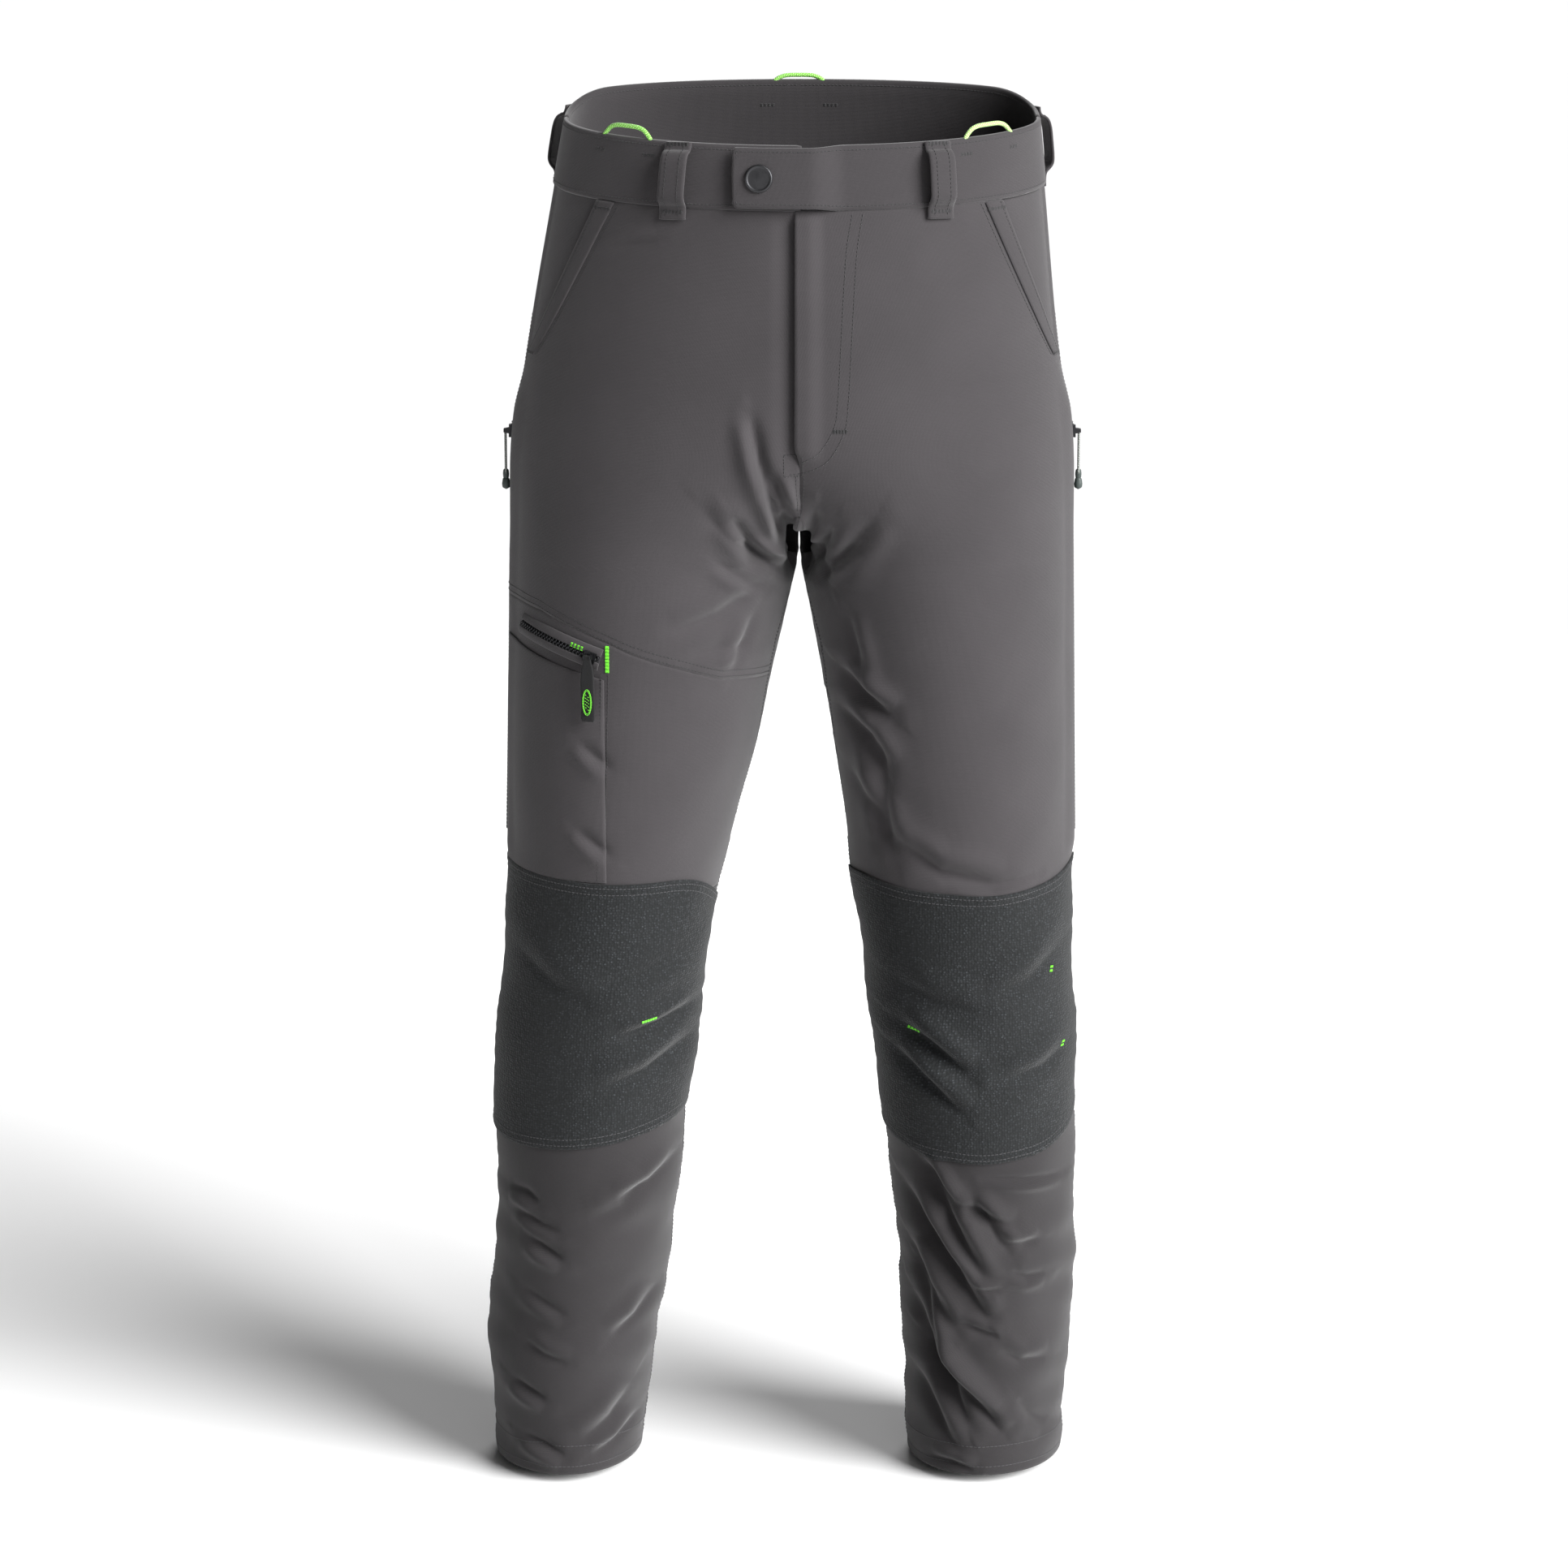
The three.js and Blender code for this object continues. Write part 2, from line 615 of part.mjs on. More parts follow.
function backPocketWelt(side, tag) {
  const top = BAND_SEAM - BACK_WELT_DROP;
  const columns = columnsBetween(BACK_WELT_START, BACK_WELT_END);
  const grid = (offset) =>
    [top, top - BACK_WELT_HEIGHT].map((level) =>
      columns.map((turn) => skin(side, BACK, turn, level, offset)),
    );
  const back = LAYER_GAP + BACK_WELT_CLEARANCE;
  add("back_pocket_welt_" + tag, sheet(grid(back + SHELL), grid(back)), fabric(COLOURS.shellDark));
}

function thighPocket() {
  const side = -1;
  const top = CROTCH - THIGH_POCKET_TOP;
  const bottom = CROTCH - PATCH_TOP + THIGH_POCKET_OVERLAP;
  const frontEdge = (level) => turnAt(side, FRONT, level, THIGH_POCKET_FRONT);
  add(
    "thigh_pocket_R",
    panel(side, FRONT, {
      top,
      bottom,
      from: THIGH_POCKET_SIDE,
      to: frontEdge,
      outer: LAYER_GAP + SHELL,
      bulge: THIGH_POCKET_BULGE,
    }),
    fabric(COLOURS.shell),
  );
}

// ---- Waistband ----
function bandGrid(places, offset) {
  return [0, BAND_SEAM / 2, BAND_SEAM].map((level) =>
    places.map(({ side, face, turn }) => skin(side, face, turn, level, offset)),
  );
}

function waistband() {
  const cloth = fabric(COLOURS.shell);
  for (const { side, tag } of SIDES) {
    const ends = [trimAt(side, FRONT, 0, 0), 1 - trimAt(side, FRONT, 1, 0)];
    const places = columnsBetween(...ends).map((turn) => ({ side, face: FRONT, turn }));
    add(
      "waistband_front_" + tag,
      sheet(bandGrid(places, BAND_PROUD), bandGrid(places, BAND_PROUD - BAND_THICK)),
      cloth,
    );
  }
  const half = (side) =>
    columnsBetween(trimAt(side, BACK, 0, 0), 1).map((turn) => ({ side, face: BACK, turn }));
  const places = [...half(-1), ...half(1).reverse().slice(1)];
  add(
    "waistband_back",
    sheet(bandGrid(places, BAND_PROUD), bandGrid(places, BAND_PROUD - BAND_THICK)),
    cloth,
  );
}

// A strap folded into a loop over the band: its feet lie on the band and just below it.
const BELT_LOOPS = [
  { name: "belt_loop_front_R", side: -1, face: FRONT, distance: 92 },
  { name: "belt_loop_front_L", side: 1, face: FRONT, distance: 103 },
  { name: "belt_loop_side_R", side: -1, face: BACK, distance: 179 },
  { name: "belt_loop_side_L", side: 1, face: BACK, distance: 183 },
  { name: "belt_loop_back_R", side: -1, face: BACK, distance: 92 },
  { name: "belt_loop_back_L", side: 1, face: BACK, distance: 92 },
  { name: "belt_loop_back_centre", side: 1, face: BACK, distance: 0 },
];

function beltLoop({ name, side, face, distance }) {
  const turn = turnAt(side, face, BAND_SEAM / 2, distance);
  const rest = BAND_PROUD + BELT_LOOP_SEAT;
  const peak = BAND_PROUD + BELT_LOOP_CLEARANCE;
  const foot = BAND_SEAM - BELT_LOOP_BELOW;
  const path = [
    [-1, rest],
    [-BELT_LOOP_HEAD, rest],
    [-BELT_LOOP_HEAD - BELT_LOOP_BEND * 0.45, peak - BELT_LOOP_SHOULDER],
    [-BELT_LOOP_HEAD - BELT_LOOP_BEND, peak],
    [BAND_SEAM + BELT_LOOP_BEND + 2, peak],
    [BAND_SEAM + BELT_LOOP_BEND * 0.55, peak - BELT_LOOP_SHOULDER],
    [BAND_SEAM - 1, rest],
    [foot, BELT_LOOP_SEAT + 0.2],
  ];
  const here = skin(side, face, turn, BAND_SEAM / 2);
  const across = skin(side, face, turn + 0.02, BAND_SEAM / 2)
    .sub(skin(side, face, turn - 0.02, BAND_SEAM / 2))
    .setZ(0)
    .normalize();
  const out = outward(side, face, turn, BAND_SEAM / 2);
  const grid = (extra) =>
    path.map(([level, offset]) => {
      const base = skin(side, face, turn, level).sub(here);
      const middle = here.clone().add(base).addScaledVector(out, offset + extra);
      return [-1, 1].map((end) => middle.clone().addScaledVector(across, (end * BELT_LOOP_WIDTH) / 2));
    });
  add(name, sheet(grid(BELT_LOOP_THICK), grid(0)), fabric(COLOURS.shell));
}

// An elastic cord sewn inside the rim at both ends, standing above it in a low arch.
const ELASTIC_LOOPS = [
  { name: "elastic_loop_front_R", face: FRONT, side: -1, near: 112, far: 148 },
  { name: "elastic_loop_front_L", face: FRONT, side: 1, near: 124, far: 160 },
  { name: "elastic_loop_back", face: BACK, side: 1, near: -25, far: 25 },
];

function elasticLoop({ name, face, side, near, far }) {
  const inside = BAND_PROUD - BAND_THICK - 0.5 - ELASTIC / 2;
  const at = (distance, level) => {
    const own = distance < 0 ? -side : side;
    return skin(own, face, turnAt(own, face, 0, Math.abs(distance)), level, inside);
  };
  const lean = (far - near) * 0.12;
  const path = new THREE.CatmullRomCurve3([
    at(near, -ELASTIC_DEPTH),
    at(near, -2),
    at(near + lean, ELASTIC_RISE * 0.75),
    at(near + 3 * lean, ELASTIC_RISE),
    at(far - 3 * lean, ELASTIC_RISE),
    at(far - lean, ELASTIC_RISE * 0.75),
    at(far, -2),
    at(far, -ELASTIC_DEPTH),
  ]);
  const round = new THREE.Shape().absarc(0, 0, ELASTIC / 2, 0, 2 * Math.PI);
  const geometry = new THREE.ExtrudeGeometry(round, {
    extrudePath: path,
    steps: 14,
    curveSegments: 4,
    bevelEnabled: false,
  });
  add(name, geometry, fabric(COLOURS.elastic));
}

// ---- Closure tab and press stud ----
function closure() {
  const back = BAND_PROUD + TAB_STAND;
  const knots = [1, 2].map((k) => smoothPoint(-1, FRONT, 1 - k / TURNS, BAND_SEAM / 2).x);
  const across = [TAB_TIP, ...knots.filter((x) => x > TAB_TIP + 2).reverse(), 0, TAB_ROOT];
  const grid = (offset) =>
    [-TAB_EDGE, BAND_SEAM / 2, BAND_SEAM + TAB_EDGE].map((level) =>
      across.map((x) => frontPoint(x, level, offset)),
    );
  const strap = sheet(grid(back + TAB_THICK), grid(back));
  const snapTurn = turnAt(-1, FRONT, BAND_SEAM / 2, -SNAP_X);
  const out = outward(-1, FRONT, snapTurn, BAND_SEAM / 2);
  const place = frameAt(frontPoint(SNAP_X, BAND_SEAM / 2, 0), new THREE.Vector3(0, 0, 1), out);
  const turned = (profile) =>
    new THREE.LatheGeometry(
      profile.map(([r, h]) => new THREE.Vector2(r, h)),
      16,
    )
      .rotateX(Math.PI / 2)
      .applyMatrix4(place);
  const hole = turned([
    [0, back - 3],
    [SHANK_RADIUS + FIT, back - 3],
    [SHANK_RADIUS + FIT, back + TAB_THICK + 3],
    [0, back + TAB_THICK + 3],
  ]);
  add("closure_tab", cut(strap, hole), fabric(COLOURS.shell));

  const capFoot = back + TAB_THICK + SNAP_SEAT;
  const socketTop = back - SNAP_SEAT;
  const socketFoot = socketTop - SOCKET_DEPTH;
  const recess = socketTop - 0.2;
  const cap = turned([
    [0, recess],
    [BALL_RADIUS + FIT, recess],
    [BALL_RADIUS + FIT, socketFoot],
    [SOCKET_RADIUS, socketFoot],
    [SOCKET_RADIUS, socketTop],
    [SHANK_RADIUS, socketTop],
    [SHANK_RADIUS, capFoot],
    [SNAP_RADIUS, capFoot],
    [SNAP_RADIUS, capFoot + SNAP_HEIGHT * 0.5],
    [SNAP_RADIUS * 0.92, capFoot + SNAP_HEIGHT * 0.85],
    [SNAP_RADIUS * 0.7, capFoot + SNAP_HEIGHT],
    [0, capFoot + SNAP_HEIGHT],
  ]);
  add("snap_cap", cap, metal(COLOURS.metal));

  const studFoot = BAND_PROUD + SNAP_SEAT;
  const stud = turned([
    [0, studFoot],
    [SOCKET_RADIUS, studFoot],
    [SOCKET_RADIUS, socketFoot - FIT],
    [BALL_RADIUS, socketFoot - FIT],
    [BALL_RADIUS, recess - 0.6],
    [BALL_RADIUS * 0.7, recess - FIT],
    [0, recess - FIT],
  ]);
  add("snap_stud", stud, metal(COLOURS.metal));
  return { hinge: frontPoint(TAB_ROOT, BAND_SEAM / 2, back + TAB_THICK / 2) };
}

// ---- Zips ----
// The section of a closed zip: its tape, and its chain standing on the middle of it.
function zipProfile(tape) {
  const half = tape / 2;
  const top = TAPE_THICK + CHAIN_HEIGHT;
  const chain = CHAIN_WIDTH / 2;
  return [
    [-half, 0],
    [half, 0],
    [half, TAPE_THICK],
    [chain, TAPE_THICK],
    [chain, top],
    [-chain, top],
    [-chain, TAPE_THICK],
    [-half, TAPE_THICK],
  ];
}

// A slider's body: a saddle over the chain.
function saddle() {
  const slot = CHAIN_WIDTH / 2 + FIT;
  const wall = slot + SLIDER_WALL;
  const low = TAPE_THICK + FIT;
  const ceiling = TAPE_THICK + CHAIN_HEIGHT + FIT;
  const top = ceiling + SLIDER_WALL;
  const profile = [
    [-wall, low],
    [-slot, low],
    [-slot, ceiling],
    [slot, ceiling],
    [slot, low],
    [wall, low],
    [wall, top],
    [-wall, top],
  ];
  return drawn(profile, -SLIDER_LENGTH / 2, SLIDER_LENGTH / 2);
}
const SADDLE_TOP = TAPE_THICK + CHAIN_HEIGHT + FIT + SLIDER_WALL;
const PIN_HEIGHT = SADDLE_TOP + EYE_RADIUS + FIT;

// Two ears and the pin between them, which carries a pull's eye.
function bail() {
  const reach = EYE_WIDTH / 2 + FIT;
  const ear = outline([
    [-2.4, SADDLE_TOP - 0.6],
    [2.4, SADDLE_TOP - 0.6],
    [1.4, PIN_HEIGHT + 1.4],
    [-1.4, PIN_HEIGHT + 1.4],
  ]);
  const pin = new THREE.Shape().absarc(0, PIN_HEIGHT, PIN_RADIUS, 0, 2 * Math.PI);
  return join(
    drawnAcross(ear, EAR_THICK, reach + EAR_THICK / 2),
    drawnAcross(ear, EAR_THICK, -reach - EAR_THICK / 2),
    drawnAcross(pin, 2 * reach + EAR_THICK),
  );
}

// A pull that hangs from its eye along the frame's -Y: a stem, and a grip at its end.
function pull({ length, gripWidth, gripThick, gripLength }) {
  const eye = new THREE.Shape().absarc(0, PIN_HEIGHT, EYE_RADIUS, 0, 2 * Math.PI);
  eye.holes.push(new THREE.Path().absarc(0, PIN_HEIGHT, PIN_RADIUS + FIT, 0, 2 * Math.PI, true));
  const stem = outline([
    [-length, PIN_HEIGHT - 0.8],
    [-PIN_RADIUS - FIT - 0.5, PIN_HEIGHT - 0.8],
    [-PIN_RADIUS - FIT - 0.5, PIN_HEIGHT + 0.8],
    [-length, PIN_HEIGHT + 0.8],
  ]);
  const grip = outline([
    [-length - gripLength, PIN_HEIGHT - gripThick * 0.35],
    [-length - gripLength, PIN_HEIGHT + gripThick * 0.35],
    [-length - gripLength * 0.2, PIN_HEIGHT + gripThick / 2],
    [-length + 1, PIN_HEIGHT + gripThick * 0.3],
    [-length + 1, PIN_HEIGHT - gripThick * 0.3],
    [-length - gripLength * 0.2, PIN_HEIGHT - gripThick / 2],
  ]);
  return join(drawnAcross(eye, EYE_WIDTH), drawnAcross(stem, EYE_WIDTH), drawnAcross(grip, gripWidth));
}

const zipMetal = metal(COLOURS.metal);
const zipTape = fabric(COLOURS.plastic);
const pivots = {};

function flyClosure() {
  const levels = rowsBetween(BAND_SEAM - SEAM, FLY_FOOT);
  const layer = (side, nearX, farX, outer) => {
    const grid = (offset) =>
      levels.map((level) => {
        const knot = Math.abs(smoothPoint(side, FRONT, 1 - 1 / TURNS, level).x);
        return [farX, knot, nearX].map((x) =>
          skin(side, FRONT, turnAt(side, FRONT, level, x), level, offset),
        );
      });
    return sheet(grid(outer), grid(outer - THIN));
  };
  add("fly_facing", layer(1, FLY_EDGE, FLY_WIDTH, FLY_IN), fabric(COLOURS.shell));
  const top = frontPoint(FLY_ZIP_X, -FLY_ZIP_TOP, 0);
  const bottom = frontPoint(FLY_ZIP_X, FLY_FOOT + FLY_ZIP_FOOT, 0);
  const along = top.clone().sub(bottom);
  const out = new THREE.Vector3(0, -1, 0);
  const seam = (level) => frontPoint(FLY_ZIP_X, level, 0);
  const { bulge, dip } = bulgeAndDip(seam, -FLY_ZIP_TOP, FLY_FOOT + FLY_ZIP_FOOT, out);
  const inside = FLY_IN - THIN - FLY_ZIP_CLEARANCE - dip - SADDLE_TOP;
  const place = frameAt(bottom, along, out).multiply(new THREE.Matrix4().makeTranslation(0, 0, inside));
  add("fly_zip", drawn(zipProfile(FLY_TAPE), 0, along.length()).applyMatrix4(place), zipTape);
  const rest = new THREE.Matrix4().makeTranslation(0, along.length() - SLIDER_LENGTH, 0);
  add("fly_zip_slider", saddle().applyMatrix4(place.clone().multiply(rest)), zipMetal);
  pivots.fly_zip_slide = { axis: along.normalize().negate() };
  const shieldOut = inside - SHIELD_CLEARANCE - bulge;
  const shieldGrid = (offset) =>
    levels.map((level) => {
      const knot = Math.abs(smoothPoint(-1, FRONT, 1 - 1 / TURNS, level).x);
      const reach = [-FLY_WIDTH, -knot, 0, FLY_ZIP_X + FLY_UNDERLAP];
      return reach.map((x) => frontPoint(x, level, offset));
    });
  add("fly_shield", sheet(shieldGrid(shieldOut), shieldGrid(shieldOut - THIN)), fabric(COLOURS.shell));
}

function sideZip(side, tag) {
  const seam = (level) => skin(side, FRONT, 0, level);
  const out = new THREE.Vector3(side, 0, 0);
  const stand = SIDE_ZIP_CLEARANCE + bulgeAndDip(seam, -SIDE_ZIP_TOP, CROTCH - SIDE_ZIP_BELOW, out).bulge;
  const top = skin(side, FRONT, 0, -SIDE_ZIP_TOP, stand);
  const bottom = skin(side, FRONT, 0, CROTCH - SIDE_ZIP_BELOW, stand);
  const along = top.clone().sub(bottom);
  const place = frameAt(bottom, along, out);
  add("side_zip_" + tag, drawn(zipProfile(SIDE_TAPE), 0, along.length()).applyMatrix4(place), zipTape);
  const rest = new THREE.Matrix4().makeTranslation(0, along.length() - SLIDER_LENGTH, 0);
  const spot = place.clone().multiply(rest);
  add("side_zip_slider_" + tag, join(saddle(), bail()).applyMatrix4(spot), zipMetal);
  const hang = frameAt(
    new THREE.Vector3(0, 0, PIN_HEIGHT).applyMatrix4(spot),
    new THREE.Vector3(0, 0, 1),
    out,
  ).multiply(new THREE.Matrix4().makeTranslation(0, 0, -PIN_HEIGHT));
  add("side_zip_pull_" + tag, pull(SIDE_PULL).applyMatrix4(hang), fabric(COLOURS.cord));
  pivots["side_zip_slide_" + tag] = { axis: along.normalize().negate() };
  pivots["side_pull_swing_" + tag] = { at: new THREE.Vector3(0, 0, PIN_HEIGHT).applyMatrix4(hang) };
}

// The thigh zip lies on a circle round the thigh, so its slider turns about that circle's axis.
function thighZip() {
  const side = -1;
  const point = (share) => {
    const distance = THREE.MathUtils.lerp(THIGH_ZIP_OUTER, THIGH_ZIP_INNER, share);
    const level = CROTCH - THIGH_ZIP_DROP - THIGH_ZIP_FALL * share;
    return skin(side, FRONT, turnAt(side, FRONT, level, distance), level, THIGH_ZIP_STAND);
  };
  const [a, b, c] = [0, 0.5, 1].map(point);
  const ab = b.clone().sub(a);
  const ac = c.clone().sub(a);
  const axis = ab.clone().cross(ac);
  const toCentre = axis
    .clone()
    .cross(ab)
    .multiplyScalar(ac.lengthSq())
    .add(ac.clone().cross(axis).multiplyScalar(ab.lengthSq()))
    .divideScalar(2 * axis.lengthSq());
  const centre = a.clone().add(toCentre);
  axis.normalize();
  const radius = toCentre.length();
  const start = a.clone().sub(centre).normalize();
  const sideways = axis.clone().cross(start);
  const sweep = Math.atan2(c.clone().sub(centre).dot(sideways), c.clone().sub(centre).dot(start));
  const spoke = (angle) =>
    start.clone().multiplyScalar(Math.cos(angle)).addScaledVector(sideways, Math.sin(angle));
  const steps = 8;
  const profile = zipProfile(THIGH_TAPE);
  const rings = [];
  for (let k = 0; k <= steps; k += 1) {
    const out = spoke((sweep * k) / steps);
    rings.push(
      profile.map(([x, z]) =>
        centre
          .clone()
          .addScaledVector(out, radius + z)
          .addScaledVector(axis, x),
      ),
    );
  }
  const faces = [];
  const sidesOf = profile.length;
  for (let k = 0; k < steps; k += 1) {
    for (let j = 0; j < sidesOf; j += 1) {
      const next = (j + 1) % sidesOf;
      const after = (k + 1) * sidesOf;
      const [p, q] = [k * sidesOf + j, k * sidesOf + next];
      faces.push([p, q, after + next], [p, after + next, after + j]);
    }
  }
  const flat = profile.map(([x, z]) => new THREE.Vector2(x, z));
  for (const [i, j, k] of THREE.ShapeUtils.triangulateShape(flat, [])) {
    faces.push([i, k, j]);
    faces.push([i, j, k].map((n) => n + steps * sidesOf));
  }
  add("thigh_zip", solidGeometry(rings.flat(), faces), zipTape);

  const restAngle = sweep - SLIDER_REST / radius;
  const out = spoke(restAngle);
  const along = axis.clone().cross(out);
  const spot = frameAt(centre.clone().addScaledVector(out, radius), along, out);
  const level = new THREE.Vector3(out.x, out.y, 0).normalize();
  const pin = centre.clone().addScaledVector(out, radius + PIN_HEIGHT + 0.4);
  const hang = frameAt(pin, new THREE.Vector3(0, 0, 1), level).multiply(
    new THREE.Matrix4().makeTranslation(0, 0, -PIN_HEIGHT),
  );
  const body = join(saddle().applyMatrix4(spot), bail().applyMatrix4(hang));
  add("thigh_zip_slider", body, zipMetal);
  add("thigh_zip_pull", pull(THIGH_PULL).applyMatrix4(hang), fabric(COLOURS.plastic));
  pivots.thigh_zip_slide = { at: centre, axis, travel: restAngle };
  pivots.thigh_pull_swing = { at: pin, axis: new THREE.Vector3(level.y, -level.x, 0) };
}

for (const { side, tag } of SIDES) {
  shellPanels(side, tag);
  gusset(side, tag);
  kneePatch(side, tag);
  innerLayers(side, tag);
  hemBand(side, tag);
  handPocket(side, tag);
  backPocketWelt(side, tag);
  sideZip(side, tag);
}
thighPocket();
thighZip();
waistband();
BELT_LOOPS.forEach(beltLoop);
ELASTIC_LOOPS.forEach(elasticLoop);
pivots.tab_swing = { at: closure().hinge };
flyClosure();
trousers.userData.pivots = pivots;

export default trousers;
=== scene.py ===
"""Looks of a pair of chainsaw protection trousers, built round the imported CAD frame.

Lengths in the tables are millimetres in the part's frame: +Z up, +X to the wearer's left, the
front faces -Y, and the origin is the middle of the waist opening. R and L are the wearer's right
and left.
"""

import json
import math

import bpy
import numpy as np
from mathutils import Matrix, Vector


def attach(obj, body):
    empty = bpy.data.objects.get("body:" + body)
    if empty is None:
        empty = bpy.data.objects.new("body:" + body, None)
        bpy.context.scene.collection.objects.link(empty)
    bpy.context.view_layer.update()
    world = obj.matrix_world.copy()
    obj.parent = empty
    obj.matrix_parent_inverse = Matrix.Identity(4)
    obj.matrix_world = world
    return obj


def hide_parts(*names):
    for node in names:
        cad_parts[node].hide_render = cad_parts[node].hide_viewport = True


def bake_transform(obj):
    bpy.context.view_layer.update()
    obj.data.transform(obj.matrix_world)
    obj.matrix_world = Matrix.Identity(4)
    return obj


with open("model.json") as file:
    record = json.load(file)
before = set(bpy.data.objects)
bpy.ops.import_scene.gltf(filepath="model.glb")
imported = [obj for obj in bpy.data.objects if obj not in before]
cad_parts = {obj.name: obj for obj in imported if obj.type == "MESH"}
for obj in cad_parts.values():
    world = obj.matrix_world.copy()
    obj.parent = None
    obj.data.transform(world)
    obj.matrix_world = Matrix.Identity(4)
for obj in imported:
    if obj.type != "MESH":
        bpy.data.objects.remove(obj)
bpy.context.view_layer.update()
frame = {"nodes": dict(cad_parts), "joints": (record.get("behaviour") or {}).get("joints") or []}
MM = 0.001

# ---- Sizes shared with the CAD ----
RISE = 335.0
INSEAM = 745.0
WAIST_TILT = 0.13
TILT_ENDS = 0.65
BAND_HEIGHT = 48.0
CROTCH = -RISE
HEM = -RISE - INSEAM
BAND_SEAM = -BAND_HEIGHT
KNEE_SEAM = CROTCH - 265.0
HEM_HEIGHT = 26.0
SHELL = 1.6
THIN = 1.0
PAD = 5.0
FACING_IN = -2.2
BAG_IN = -3.8
PAD_IN = -6.4
LINING_IN = -12.0
BAND_PROUD = 1.4
BAND_THICK = 4.0
GUSSET_LENGTH = 225.0
GUSSET_WIDEST = 65.0
GUSSET_SHARE = 0.09
SLANT_TOP = 152.0
SLANT_DROP = 140.0
WELT_WIDTH = 13.0
THIGH_POCKET_FRONT = 150.0
PAD_TOP = -130.0
PAD_FOOT = HEM + 50.0
BELT_LOOP_WIDTH = 20.0
BELT_LOOP_THICK = 2.0
BELT_LOOP_CLEARANCE = 9.0
BELT_LOOP_BELOW = 10.0
ELASTIC = 3.4
ELASTIC_RISE = 10.0
ELASTIC_DEPTH = 14.0
TAB_TIP = -49.0
TAB_THICK = 2.2
TAB_STAND = 4.4
TAB_EDGE = 1.5
SNAP_X = -30.0
SNAP_RADIUS = 10.5
FLY_FOOT = CROTCH + 85.0
FLY_WIDTH = 42.0
FLY_OVERLAP = 3.5
FLY_ZIP_X = 9.0
SIDE_ZIP_TOP = -232.0
SIDE_ZIP_BOTTOM = -560.0
CHAIN_HEIGHT = 1.8
TAPE_THICK = 0.8

FRONT, BACK = -1, 1
SIDES = ((-1, "R"), (1, "L"))
BODY = "trousers"
RISE_CURVE_START = 0.45
FRONT_CURVE = 3.0
BACK_CURVE = 2.2
BACK_FULLNESS = 0.42
FULLNESS_DROP = 150.0
SECTION_KEYS = ("at", "outerR", "outerL", "innerR", "innerL", "front", "back", "lean")
SECTIONS = (
    (0.0, 180, 184, None, None, 112, 112, 0),
    (0.18, 191, 190, None, None, 116, 120, 0),
    (0.46, 208, 199, None, None, 119, 134, 0),
    (0.73, 221, 210, None, None, 117, 140, 0),
    (1.0, 223.5, 211.5, 0, 0, 107, 128, -1.5),
    (1.18, 226.5, 213.5, 30, 24, 99, 108, -4.5),
    (1.36, 229.5, 216, 65, 43, 92, 97, -7.5),
    (1.54, 241, 221, 85, 61, 87, 92, -5),
    (1.72, 244, 224, 100, 78, 83, 90, 4),
    (1.89, 252, 220, 118, 86, 79, 80, 10),
    (2.0, 248, 214, 130, 90, 77, 77, 12),
)

# ---- The body surface, as in the CAD but smooth ----
TABLE_STEPS = 2401
TABLE_AT = np.linspace(0.0, 2.0, TABLE_STEPS)


def column_table(key):
    """One column of SECTIONS as a smooth curve, read at TABLE_AT."""
    place = SECTION_KEYS.index(key)
    rows = [(row[0], row[place]) for row in SECTIONS if row[place] is not None]
    at = np.array([r[0] for r in rows], float)
    value = np.array([r[1] for r in rows], float)
    low = np.maximum(np.arange(len(rows)) - 1, 0)
    high = np.minimum(np.arange(len(rows)) + 1, len(rows) - 1)
    slope = (value[high] - value[low]) / (at[high] - at[low])
    i = np.clip(np.searchsorted(at, TABLE_AT, side="left") - 1, 0, len(rows) - 2)
    length = at[i + 1] - at[i]
    t = np.clip((TABLE_AT - at[i]) / length, 0, 1)
    rest = 1 - t
    return (
        value[i] * (1 + 2 * t) * rest**2
        + slope[i] * length * t * rest**2
        + value[i + 1] * t**2 * (3 - 2 * t)
        - slope[i + 1] * length * t**2 * rest
    )


TABLES = {key: column_table(key) for key in SECTION_KEYS[1:]}


def smooth(low, high, value):
    t = np.clip((np.asarray(value, float) - low) / (high - low), 0, 1)
    return t * t * (3 - 2 * t)


def section(side, face, level):
    """Span, outer, half, depth and lean of the half section at each level."""
    level = np.asarray(level, float)
    at = np.where(level > CROTCH, -level / RISE, 1 + (CROTCH - level) / INSEAM)
    tag = "R" if side < 0 else "L"

    def read(key):
        return np.interp(at, TABLE_AT, TABLES[key])

    under = np.clip((at - RISE_CURVE_START) / (1 - RISE_CURVE_START), 0, 1)
    span = (math.pi / 2) * (1 + under ** (FRONT_CURVE if face < 0 else BACK_CURVE))
    outer = read("outer" + tag)
    inner = np.where(at > 1, read("inner" + tag), 0.0)
    half = (outer - inner) / (1 - np.cos(span))
    return span, outer, half, read("front" if face < 0 else "back"), read("lean")


def body_point(side, face, turn, level):
    span, outer, half, depth, lean = section(side, face, level)
    angle = turn * span
    sine = np.sin(angle)
    square = BACK_FULLNESS * smooth(-FULLNESS_DROP, 0, level) if face > 0 else 0.0
    y = lean + face * depth * np.sign(sine) * np.abs(sine) ** (1 - square)
    x = outer - half * (1 - np.cos(angle))
    fade = np.clip(1 + level / (TILT_ENDS * RISE), 0, 1)
    z = level + WAIST_TILT * y * fade**2 * (3 - 2 * fade)
    return np.stack([side * x, y, z], axis=-1)


def unit(v):
    return v / np.maximum(np.linalg.norm(v, axis=-1, keepdims=True), 1e-12)


